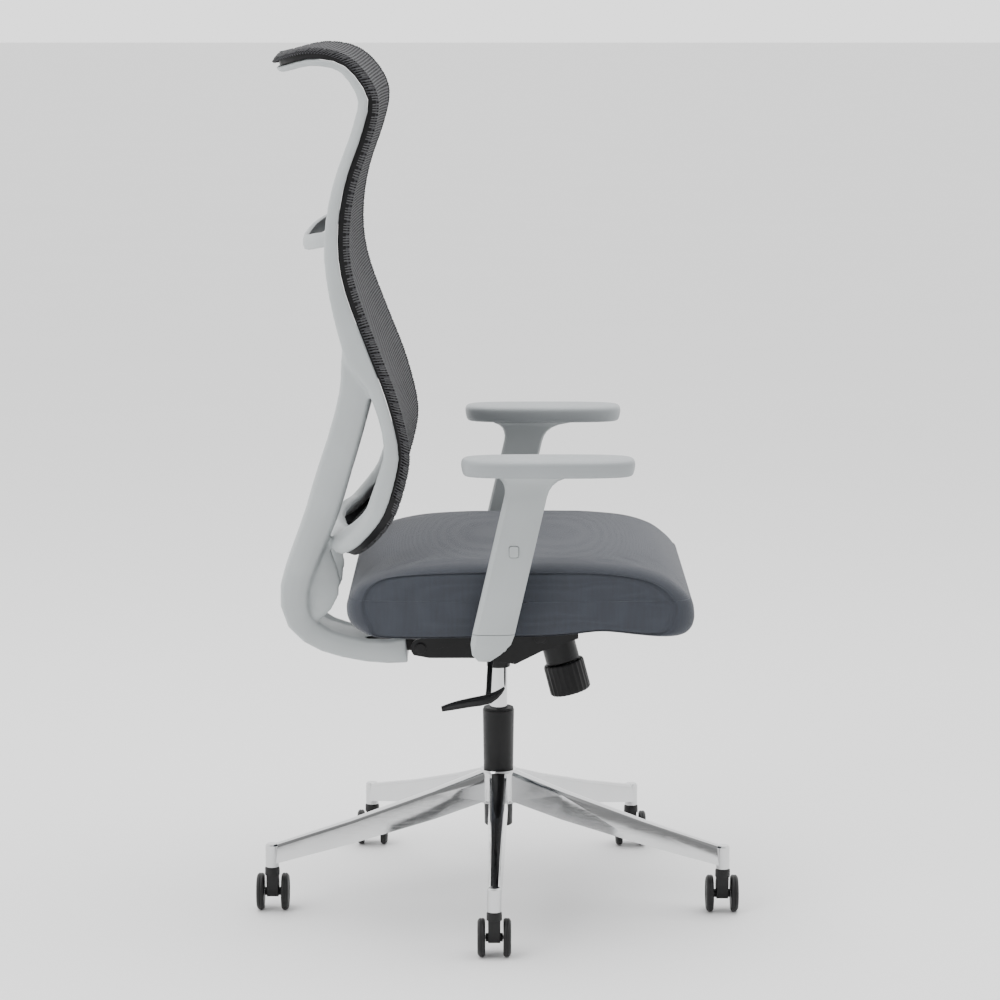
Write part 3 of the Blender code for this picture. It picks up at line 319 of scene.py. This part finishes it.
GREY = moulded_plastic("grey_moulding", (0.40, 0.425, 0.43), 0.42)
BLACK = moulded_plastic("black_moulding", (0.007, 0.007, 0.0075), 0.45, 0.22)
CHARCOAL = moulded_plastic("charcoal_moulding", (0.011, 0.011, 0.0115), 0.5, 0.28)
ALUMINIUM = polished_aluminium()
CHROME = chrome()
STEEL = plain_steel()
COATED = coated_steel()
CLOTH = seat_cloth()
PAD = pad_skin()
KNIT = open_mesh()
HEM = hem_cloth()

SLOT_LOOKS = {
    "polished_aluminium": ALUMINIUM,
    "chrome": CHROME,
    "black_nylon": BLACK,
    "charcoal_nylon": CHARCOAL,
    "grey_nylon": GREY,
    "grey_pad": PAD,
    "black_steel": COATED,
    "bright_steel": STEEL,
    "seat_fabric": CLOTH,
    "mesh_fabric": KNIT,
}


# ---- Shared tools --------------------------------------------------------------------------------


def body_of(node):
    """The CAD body that a node belongs to."""
    for body, nodes in frame["record"]["behaviour"]["bodies"].items():
        if node in nodes:
            return body
    raise KeyError(node)


def slot_of(node):
    return next(s["material_slot"] for s in frame["record"]["subparts"] if s["node"] == node)


def cad_shape(node):
    """A node's shape as a clean bmesh: points joined, and flat pairs of triangles made quads."""
    shape = bmesh.new()
    shape.from_mesh(frame["nodes"][node].data)
    bmesh.ops.remove_doubles(shape, verts=shape.verts, dist=WELD)
    bmesh.ops.join_triangles(
        shape, faces=shape.faces, angle_face_threshold=0.6, angle_shape_threshold=0.9
    )
    return shape


def piece(name, shape, look, body, stands_for=()):
    """A new visible piece from a bmesh in world coordinates, riding on a CAD body."""
    mesh = bpy.data.meshes.new(name)
    shape.to_mesh(mesh)
    shape.free()
    mesh.shade_smooth()
    mesh.materials.append(look)
    made = bpy.data.objects.new(name, mesh)
    bpy.context.scene.collection.objects.link(made)
    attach(made, body)
    if stands_for:
        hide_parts(*stands_for)
    return made


def subdivide(obj, levels):
    """Rounds a piece's surface by subdivision."""
    step = obj.modifiers.new("smooth_surface", "SUBSURF")
    step.levels = step.render_levels = levels


def soften_edges(obj, width, angle_deg=32):
    """Rounds the hard edges by a small bevel, and shades flat faces flat."""
    weld = obj.modifiers.new("weld", "WELD")
    weld.merge_threshold = WELD
    bevel = obj.modifiers.new("soft_edges", "BEVEL")
    bevel.width = width
    bevel.segments = 2
    bevel.limit_method = "ANGLE"
    bevel.angle_limit = math.radians(angle_deg)
    bevel.use_clamp_overlap = True
    obj.modifiers.new("even_shading", "WEIGHTED_NORMAL")


def applied(obj):
    """The object's mesh with its modifiers run, put back on the object."""
    graph = bpy.context.evaluated_depsgraph_get()
    mesh = bpy.data.meshes.new_from_object(obj.evaluated_get(graph), depsgraph=graph)
    obj.modifiers.clear()
    obj.data = mesh
    return mesh


def skin(rings, closed=False):
    """Quads over rings of equal length, with their points. The ends stay open unless closed joins them."""
    shape = bmesh.new()
    rows = [[shape.verts.new(point) for point in ring] for ring in rings]
    after = rows[1:] + rows[:1] if closed else rows[1:]
    for low, high in zip(rows, after):
        for k in range(len(low)):
            j = (k + 1) % len(low)
            shape.faces.new((low[k], low[j], high[j], high[k]))
    return shape, rows


def turned(profile, centre, axis, segments=64):
    """Surface of revolution from (radius, height) pairs, open at an end that is off the axis."""
    turn = Vector((0, 0, 1)).rotation_difference(Vector(axis)).to_matrix()
    rings = []
    for radius, height in profile:
        angles = [math.tau * k / segments for k in range(segments)]
        level = [Vector((radius * math.cos(a), radius * math.sin(a), height)) for a in angles]
        rings.append([Vector(centre) + turn @ point for point in level])
    shape, _ = skin(rings)
    bmesh.ops.remove_doubles(shape, verts=shape.verts, dist=WELD)
    bmesh.ops.recalc_face_normals(shape, faces=shape.faces)
    return shape


def rounded(profile, radius=0.0006):
    """A turned profile with each inner corner replaced by two points, for an eased edge."""
    eased = [profile[0]]
    for before, corner, after in zip(profile, profile[1:], profile[2:]):
        for other in (before, after):
            gap = math.dist(corner, other)
            share = min(0.45, radius / gap) if gap else 0.0
            eased.append(tuple(here + (there - here) * share for here, there in zip(corner, other)))
    return [*eased, profile[-1]]


def evenly(points, count, closed=True):
    """The polyline read at count even steps of its length."""
    table = np.array([tuple(p) for p in points], float)
    if closed:
        table = np.vstack([table, table[:1]])
    reach = np.concatenate([[0], np.cumsum(np.linalg.norm(np.diff(table, axis=0), axis=1))])
    steps = np.linspace(0, reach[-1], count, endpoint=not closed)
    return np.column_stack([np.interp(steps, reach, column) for column in table.T])


# ---- Rigid nodes that keep their CAD shape -------------------------------------------------------


def dress_cad_nodes(kept):
    """Gives every node its slot's material, and softened edges to those in kept, by bevel width."""
    for name, obj in frame["nodes"].items():
        obj.data.materials.clear()
        obj.data.materials.append(SLOT_LOOKS[slot_of(name)])
        if name in kept:
            soften_edges(obj, kept[name])


def bevel_widths():
    """Each node's bevel width, less on a part that is very thin."""
    widths = {}
    for name in frame["nodes"]:
        low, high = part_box(name)
        smallest = min(b - a for a, b in zip(low, high))
        widths[name] = min(BEVEL_WIDTH, smallest * BEVEL_SHARE)
    return widths


# ---- Casters and lift ----------------------------------------------------------------------------


def build_wheel(number, side_name, side):
    """Twin wheel: grooved tread, dished cover with a raised rim."""
    node = f"caster_{number}_wheel_{side_name}"
    low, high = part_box(node)
    radius = (high[2] - low[2]) / 2
    centre_y, centre_z = (low[1] + high[1]) / 2, (low[2] + high[2]) / 2
    inner, outer = (high[0], low[0]) if side < 0 else (low[0], high[0])
    width = abs(outer - inner)
    profile = [
        (0.0, 0.0),
        (radius - 0.0022, 0.0),
        (radius - 0.0004, width * 0.14),
        (radius, width * 0.24),
        (radius, width * 0.44),
        (radius - 0.0005, width * 0.47),
        (radius - 0.0005, width * 0.51),
        (radius, width * 0.54),
        (radius, width * 0.68),
        (radius - 0.0013, width * 0.86),
        (radius - 0.0042, width),
        (radius - 0.0068, width),
        (radius - 0.0075, width - 0.0009),
        (radius * 0.34, width - 0.0013),
        (radius * 0.30, width - 0.0004),
        (0.0, width - 0.0004),
    ]
    shape = turned(rounded(profile, 0.0004), (inner, centre_y, centre_z), (side, 0, 0), 56)
    wheel = piece(node + "_tyre", shape, CHARCOAL, body_of(node), [node])
    wheel.data.set_sharp_from_angle(angle=math.radians(50))


def build_lift_tube():
    """Tapered outer tube of the gas lift, with an eased mouth."""
    low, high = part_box("lift_outer_tube")
    top_r, bottom_r = high[0], LIFT_TUBE_FOOT_R
    foot, mouth = low[2], high[2]
    outside = [
        (0.0055, foot),
        (bottom_r - 0.0012, foot),
        (bottom_r, foot + 0.0015),
        (top_r, mouth - 0.004),
        (top_r, mouth - 0.0004),
        (top_r - 0.0004, mouth),
        (top_r - LIFT_TUBE_WALL, mouth),
        (top_r - LIFT_TUBE_WALL, mouth - 0.010),
    ]
    shape = turned(outside, (0, 0, 0), (0, 0, 1))
    tube = piece("lift_tube_sleeve", shape, COATED, "base", ["lift_outer_tube"])
    tube.data.set_sharp_from_angle(angle=math.radians(40))


def build_lift_cylinder():
    """Chrome cylinder that slides in the tube and tapers into the mechanism."""
    low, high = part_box("lift_cylinder")
    radius = high[0]
    rod = [
        (0.0052, low[2]),
        (radius - 0.0012, low[2]),
        (radius, low[2] + 0.0012),
        (radius, high[2] - LIFT_NECK_HEIGHT),
        (radius - 0.0007, high[2]),
        (0.0034, high[2]),
    ]
    shape = turned(rod, (0, 0, 0), (0, 0, 1))
    cylinder = piece("lift_chrome_cylinder", shape, CHROME, "mechanism", ["lift_cylinder"])
    cylinder.data.set_sharp_from_angle(angle=math.radians(40))


# ---- Back ----------------------------------------------------------------------------------------


def front_sheet():
    """The mesh panel's front surface, taken from its CAD solid."""
    shape = cad_shape("back_mesh")
    bmesh.ops.recalc_face_normals(shape, faces=shape.faces)
    towards = Vector((1, 0, 1)).normalized()
    turned_away = [f for f in shape.faces if f.normal.dot(towards) < MESH_FRONT_SLOPE]
    sides = [f for f in shape.faces if abs(f.normal.y) > MESH_SIDE_SLOPE]
    bmesh.ops.delete(shape, geom=list(dict.fromkeys(turned_away + sides)), context="FACES")
    loose = [v for v in shape.verts if not v.link_faces]
    bmesh.ops.delete(shape, geom=loose, context="VERTS")
    return shape


def middle_profile(shape):
    """The sheet's middle line, from the headrest's tip down, as x and z with its length so far."""
    middle = [v for v in shape.verts if abs(v.co.y) < 0.001]
    step = min(middle, key=lambda v: v.co.x - v.co.z * 0.2)
    chain, left = [step], set(middle) - {step}
    while left:
        step = min(left, key=lambda v: (v.co - chain[-1].co).length)
        chain.append(step)
        left.discard(step)
    points = np.array([(v.co.x, v.co.z) for v in chain])
    reach = np.concatenate([[0], np.cumsum(np.linalg.norm(np.diff(points, axis=0), axis=1))])
    return points, reach


def reach_along(points, reach, x, z):
    """How far down the middle line the nearest point to x, z is."""
    at = np.array([x, z])
    best, found = 1e9, 0.0
    for k in range(len(points) - 1):
        way = points[k + 1] - points[k]
        share = float(np.clip(np.dot(at - points[k], way) / np.dot(way, way), 0, 1))
        gap = float(np.linalg.norm(points[k] + way * share - at))
        if gap < best:
            best, found = gap, reach[k] + share * (reach[k + 1] - reach[k])
    return found


def lay_weave(mesh, points, reach):
    """Writes thread coordinates in metres: across the back, and down it."""
    layer = mesh.uv_layers.new(name="weave")
    down = [reach_along(points, reach, v.co.x, v.co.z) for v in mesh.vertices]
    for loop in mesh.loops:
        layer.data[loop.index].uv = (mesh.vertices[loop.vertex_index].co.y, down[loop.vertex_index])


def build_mesh_sheet():
    """The knit stretched over the carrier, with its flat size measured across and down the panel."""
    shape = front_sheet()
    points, reach = middle_profile(shape)
    for vert in shape.verts:
        vert.co += vert.normal * MESH_STANDOFF
    sheet = piece("back_mesh_knit", shape, KNIT, "back", ["back_mesh"])
    subdivide(sheet, 2)
    mesh = applied(sheet)
    mesh.shade_smooth()
    lay_weave(mesh, points, reach)
    return sheet


def boundary_chain(shape):
    """The points along a sheet's longest open edge, in order."""
    shape.verts.ensure_lookup_table()
    links = {}
    for edge in shape.edges:
        if edge.is_boundary:
            a, b = (v.index for v in edge.verts)
            links.setdefault(a, []).append(b)
            links.setdefault(b, []).append(a)
    chains, seen = [], set()
    for start in links:
        chain = []
        step = start
        while step is not None and step not in seen:
            seen.add(step)
            chain.append(shape.verts[step])
            step = next((k for k in links[step] if k not in seen), None)
        chains.append(chain)
    return max(chains, key=len)


def rim_of(mesh):
    """The sheet's edge at even steps: place, surface normal, the way out, and the way along."""
    shape = bmesh.new()
    shape.from_mesh(mesh)
    shape.normal_update()
    chain = boundary_chain(shape)
    places = evenly([v.co for v in chain], RIM_POINTS)
    normals = evenly([v.normal for v in chain], RIM_POINTS)
    shape.free()
    middle = places.mean(axis=0)
    rim = []
    for k in range(len(places)):
        along = Vector(places[(k + 1) % len(places)] - places[k - 1]).normalized()
        normal = Vector(normals[k]).normalized()
        out = along.cross(normal).normalized()
        if out.y * places[k][1] + out.z * (places[k][2] - middle[2]) < 0:
            out = -out
        rim.append((Vector(places[k]), normal, out, along))
    return rim


def build_hem_band(rim, length):
    """The knit's edge turned over the carrier, with its threads running round it."""
    # way out from the edge, height over the sheet
    section = (
        (-HEM_INSET, 0.0006),
        (-0.0015, 0.0010),
        (0.0004, 0.0002),
        (0.0010, -0.0020),
        (0.0010, -HEM_DEPTH),
        (-0.0020, -HEM_DEPTH),
    )
    rings = [[at + out * a + normal * b for a, b in section] for at, normal, out, _ in rim]
    shape, rows = skin(rings, closed=True)
    threads = shape.loops.layers.uv.new("weave")
    place = {vert: (j, k) for k, row in enumerate(rows) for j, vert in enumerate(row)}
    for face in shape.faces:
        ends = [place[loop.vert][1] for loop in face.loops]
        for loop in face.loops:
            j, k = place[loop.vert]
            turn = len(rows) if k == 0 and max(ends) == len(rows) - 1 else 0
            loop[threads].uv = (HEM_DEPTH * j / len(section), length * (k + turn) / len(rows))
    bmesh.ops.recalc_face_normals(shape, faces=shape.faces)
    piece("back_mesh_hem", shape, KNIT, "back")


def build_hem_ribs(rim, length):
    """The raised end of each rib, over the edge."""
    count = int(length / RIB_PITCH)
    ribs = bmesh.new()
    path = ((-HEM_INSET * 0.8, 0.0006), (-0.0012, 0.0012), (0.0010, 0.0), (0.0012, -HEM_DEPTH * 0.62))
    for k in range(count):
        at, normal, out, along = rim[int(k * len(rim) / count)]
        lift = (out + normal).normalized() * RIB_HEIGHT
        side = along * RIB_WIDTH / 2
        rows = []
        for a, b in path:
            base = at + out * a + normal * b
            corners = (base - side, base - side + lift, base + side + lift, base + side)
            rows.append([ribs.verts.new(corner) for corner in corners])
        for low, high in zip(rows, rows[1:]):
            for j in range(4):
                ribs.faces.new((low[j], low[(j + 1) % 4], high[(j + 1) % 4], high[j]))
        ribs.faces.new(rows[0])
        ribs.faces.new(reversed(rows[-1]))
    bmesh.ops.recalc_face_normals(ribs, faces=ribs.faces)
    piece("back_mesh_hem_ribs", ribs, HEM, "back")


def build_hem(sheet):
    rim = rim_of(sheet.data)
    length = sum((rim[k][0] - rim[k - 1][0]).length for k in range(len(rim)))
    build_hem_band(rim, length)
    build_hem_ribs(rim, length)


def build_frame_moulding():
    """The frame as one moulding: its CAD solid with the joins blended into each other."""
    shape = cad_shape("back_frame")
    moulding = piece("back_frame_moulding", shape, GREY, "back", ["back_frame"])
    remesh = moulding.modifiers.new("one_skin", "REMESH")
    remesh.mode = "VOXEL"
    remesh.voxel_size = MOULDING_VOXEL * 1
    remesh.use_smooth_shade = True
    blend = moulding.modifiers.new("blended_joins", "SMOOTH")
    blend.factor = 0.5
    blend.iterations = MOULDING_SMOOTHING
    applied(moulding).shade_smooth()


# ---- Seat ----------------------------------------------------------------------------------------


def smooth_loop(points, per_span=12):
    """A smooth closed curve through the points."""
    table = np.array(points)
    before, after, later = (np.roll(table, shift, axis=0) for shift in (1, -1, -2))
    shares = np.linspace(0, 1, per_span, endpoint=False)[None, :, None]
    a, b, c, d = (part[:, None, :] for part in (before, table, after, later))
    curve = 2 * b + (c - a) * shares + (2 * a - 5 * b + 4 * c - d) * shares**2
    curve = curve + (3 * b - a - 3 * c + d) * shares**3
    return (curve / 2).reshape(-1, 2)


def around(points, centre, angles):
    """A side outline read at even turns about its centre, with its length drawn in to suit its height."""
    table = (smooth_loop(points) - centre) * (SEAT_DRAW_IN, 1.0)
    turns = np.arctan2(table[:, 1], table[:, 0])
    order = np.argsort(turns)
    reach = np.interp(angles, turns[order], np.linalg.norm(table, axis=1)[order], period=math.tau)
    for _ in range(2):
        reach = (np.roll(reach, 1) + 2 * reach + np.roll(reach, -1)) / 4
    return np.column_stack([reach * np.cos(angles) / SEAT_DRAW_IN, reach * np.sin(angles)]) + centre


def seat_rings(low, high):
    """Half of the cover as (y, outline) from the side panel's middle in, and which points are the top's."""
    half = high[1] - SEAT_SIDE_BULGE
    centre = np.array([(low[0] + high[0]) / 2, (low[2] + high[2]) / 2])
    angles = np.linspace(-math.pi, math.pi, SEAT_RING_POINTS, endpoint=False)
    outline = around(SEAT_OUTLINE, centre, angles)
    inward = (centre - outline) / np.linalg.norm(centre - outline, axis=1)[:, None]
    outline += inward * SEAT_START_INSET
    seam = around(SEAT_SEAM, centre, angles)

    rings = []
    for share in SIDE_PANEL_SHARES:
        rings.append((half + SEAT_SIDE_BULGE * (1 - share**2), centre + (seam - centre) * share))
    rings.append((half - SEAM_DEPTH, seam))
    for turn in np.radians(ROLL_TURNS_DEG):
        y = half + SEAM_RIDGE - (SEAT_EDGE_R + SEAM_RIDGE) * (1 - math.cos(turn))
        rings.append((y, seam + (outline - seam) * math.sin(turn)))
    for y in np.linspace(half - SEAT_EDGE_R, 0.0, TOP_ROWS)[1:]:
        rings.append((y, outline))
    return rings, outline[:, 1] > centre[1]


def build_seat():
    """Foam cushion in a sewn cover: crowned top, rolled edges, and a side panel set in by a seam."""
    low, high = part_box("seat_cushion")
    half = high[1] - SEAT_SIDE_BULGE
    half_rings, upper = seat_rings(low, high)

    def ring(y, side, points):
        drop = np.where(upper, SEAT_CROWN * (y / half) ** 2, 0.0)
        return [Vector((x, side * y, z - d)) for (x, z), d in zip(points, drop)]

    rings = [ring(y, -1, points) for y, points in half_rings]
    rings += [ring(y, 1, points) for y, points in reversed(half_rings[:-1])]
    shape, rows = skin(rings)
    for end in (rows[0], rows[-1]):
        shape.faces.new(end)
    shape.verts.index_update()
    seam_row = len(SIDE_PANEL_SHARES)
    sewn_rows = [seam_row - 1, seam_row, seam_row + 1]
    sewn_rows += [len(rows) - 1 - k for k in sewn_rows]
    held = [v.index for k in sewn_rows for v in rows[k]]
    held += [v.index for v in shape.verts if v.co.z < low[2] + SEAT_HELD_HEIGHT]
    bmesh.ops.recalc_face_normals(shape, faces=shape.faces)

    cushion = piece("seat_cushion_cover", shape, CLOTH, "seat", ["seat_cushion"])
    puff(cushion, held)
    subdivide(cushion, 1)


def puff(obj, held):
    """Swells the cover by cloth simulation between the points that are sewn or glued down."""
    rest = np.array([v.co[:] for v in obj.data.vertices])
    group = obj.vertex_groups.new(name="sewn")
    group.add(sorted(set(held)), 1.0, "REPLACE")
    cloth = obj.modifiers.new("puff", "CLOTH")
    cloth.settings.vertex_group_mass = "sewn"
    cloth.settings.use_pressure = True
    cloth.settings.uniform_pressure_force = PUFF_PRESSURE
    cloth.settings.effector_weights.gravity = 0
    cloth.settings.quality = 4
    for number in range(1, PUFF_FRAMES + 1):
        bpy.context.scene.frame_set(number)
    mesh = applied(obj)
    bpy.context.scene.frame_set(1)
    moved = np.array([v.co[:] for v in mesh.vertices])
    shift = moved - rest
    size = np.linalg.norm(shift, axis=1)
    scale = np.where(size > PUFF_LIMIT, PUFF_LIMIT / np.maximum(size, 1e-9), 1.0)
    settled = rest + shift * scale[:, None]
    for vert, place in zip(mesh.vertices, settled):
        vert.co = place


# ---- Arms ----------------------------------------------------------------------------------------


def superellipse(half_x, half_y, power, count):
    """A box with round corners, squarer as the power rises."""
    points = []
    for k in range(count):
        angle = math.tau * (k + 0.5) / count
        c, s = math.cos(angle), math.sin(angle)
        size = (abs(c) ** power + abs(s) ** power) ** (-1 / power)
        points.append((half_x * size * c, half_y * size * s))
    return points


def build_arm_pad(side_name):
    """Moulded pad: straight sides that draw in a little below, a crowned top."""
    node = f"arm_{side_name}_pad"
    low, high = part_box(node)
    middle = [(a + b) / 2 for a, b in zip(low, high)]
    half_x, half_y = (high[0] - low[0]) / 2, (high[1] - low[1]) / 2
    tall = high[2] - low[2]
    # height as a share, inset
    levels = (
        (0.00, 0.012),
        (0.00, 0.0055),
        (0.06, 0.0030),
        (0.30, 0.0012),
        (0.62, 0.0),
        (0.80, 0.0004),
        (0.93, 0.0026),
        (0.985, 0.0065),
        (0.995, 0.014),
        (1.00, 0.028),
    )
    rings = []
    for share, inset in levels:
        outline = superellipse(half_x - inset, half_y - inset, PAD_CORNER_POWER, PAD_RING_POINTS)
        z = low[2] + tall * share
        rings.append([Vector((middle[0] + x, middle[1] + y, z)) for x, y in outline])
    shape, rows = skin(rings)
    shape.faces.new(rows[0])
    shape.faces.new(rows[-1])
    bmesh.ops.recalc_face_normals(shape, faces=shape.faces)
    pad = piece(f"arm_{side_name}_pad_skin", shape, PAD, body_of(node), [node])
    subdivide(pad, 1)


# ---- Floor, light and camera ---------------------------------------------------------------------


def build_floor():
    look = Look("pale_floor", (0.90, 0.90, 0.90), 0.75)
    look.shade(look.noise(1.5, 2.0), 0.985, 1.0)
    mesh = bpy.data.meshes.new("floor")
    corners = [(x * FLOOR_HALF, y * FLOOR_HALF, 0) for x, y in ((-1, -1), (1, -1), (1, 1), (-1, 1))]
    mesh.from_pydata(corners, [], [(0, 1, 2, 3)])
    mesh.materials.append(look.material)
    floor = bpy.data.objects.new("floor", mesh)
    bpy.context.scene.collection.objects.link(floor)


def area_light(name, at, towards, size, power):
    data = bpy.data.lights.new(name, "AREA")
    data.shape = "RECTANGLE"
    data.size, data.size_y = size
    data.energy = power
    lamp = bpy.data.objects.new(name, data)
    lamp.location = at
    lamp.rotation_euler = (Vector(towards) - Vector(at)).to_track_quat("-Z", "Y").to_euler()
    bpy.context.scene.collection.objects.link(lamp)


def build_light():
    """Soft boxes round the chair in a white room that is darker behind the camera."""
    area_light("key", (-2.4, -2.6, 2.8), (0, 0, 0.6), (2.2, 2.2), 60)
    area_light("top", (0.0, 0.2, 3.4), (0, 0, 0.4), (3.0, 3.0), 80)
    world = bpy.data.worlds.new("studio")
    bpy.context.scene.world = world
    world.use_nodes = True
    tree = world.node_tree
    coordinates = tree.nodes.new("ShaderNodeTexCoord")
    split = tree.nodes.new("ShaderNodeSeparateXYZ")
    tree.links.new(coordinates.outputs["Generated"], split.inputs["Vector"])
    ramp = tree.nodes.new("ShaderNodeMapRange")
    ramp.interpolation_type = "SMOOTHSTEP"
    tree.links.new(split.outputs["Y"], ramp.inputs["Value"])
    ramp.inputs["From Min"].default_value = -1.0
    ramp.inputs["From Max"].default_value = 0.1
    ramp.inputs["To Min"].default_value = ROOM_DIM
    ramp.inputs["To Max"].default_value = ROOM_BRIGHT
    tree.links.new(ramp.outputs["Result"], tree.nodes["Background"].inputs["Strength"])
    tree.nodes["Background"].inputs["Color"].default_value = (1, 1, 1, 1)


def build_camera():
    data = bpy.data.cameras.new("camera")
    data.lens = CAMERA_LENS_MM
    data.sensor_width = SENSOR_MM
    camera = bpy.data.objects.new("camera", data)
    camera.location = CAMERA_AT
    camera.rotation_euler = (math.radians(90 + CAMERA_PITCH_DEG), 0, 0)
    bpy.context.scene.collection.objects.link(camera)
    bpy.context.scene.camera = camera


def main():
    build_camera()
    build_floor()
    build_light()
    replaced = {"lift_outer_tube", "lift_cylinder", "back_mesh", "back_frame", "seat_cushion"}
    replaced |= {f"arm_{side}_pad" for side, _ in SIDES}
    replaced |= {f"caster_{n}_wheel_{side}" for n in CASTERS for side, _ in SIDES}
    dress_cad_nodes({name: width for name, width in bevel_widths().items() if name not in replaced})
    for number in CASTERS:
        for side_name, side in SIDES:
            build_wheel(number, side_name, side)
    build_lift_tube()
    build_lift_cylinder()
    build_hem(build_mesh_sheet())
    build_frame_moulding()
    build_seat()
    for side_name, _ in SIDES:
        build_arm_pad(side_name)


main()
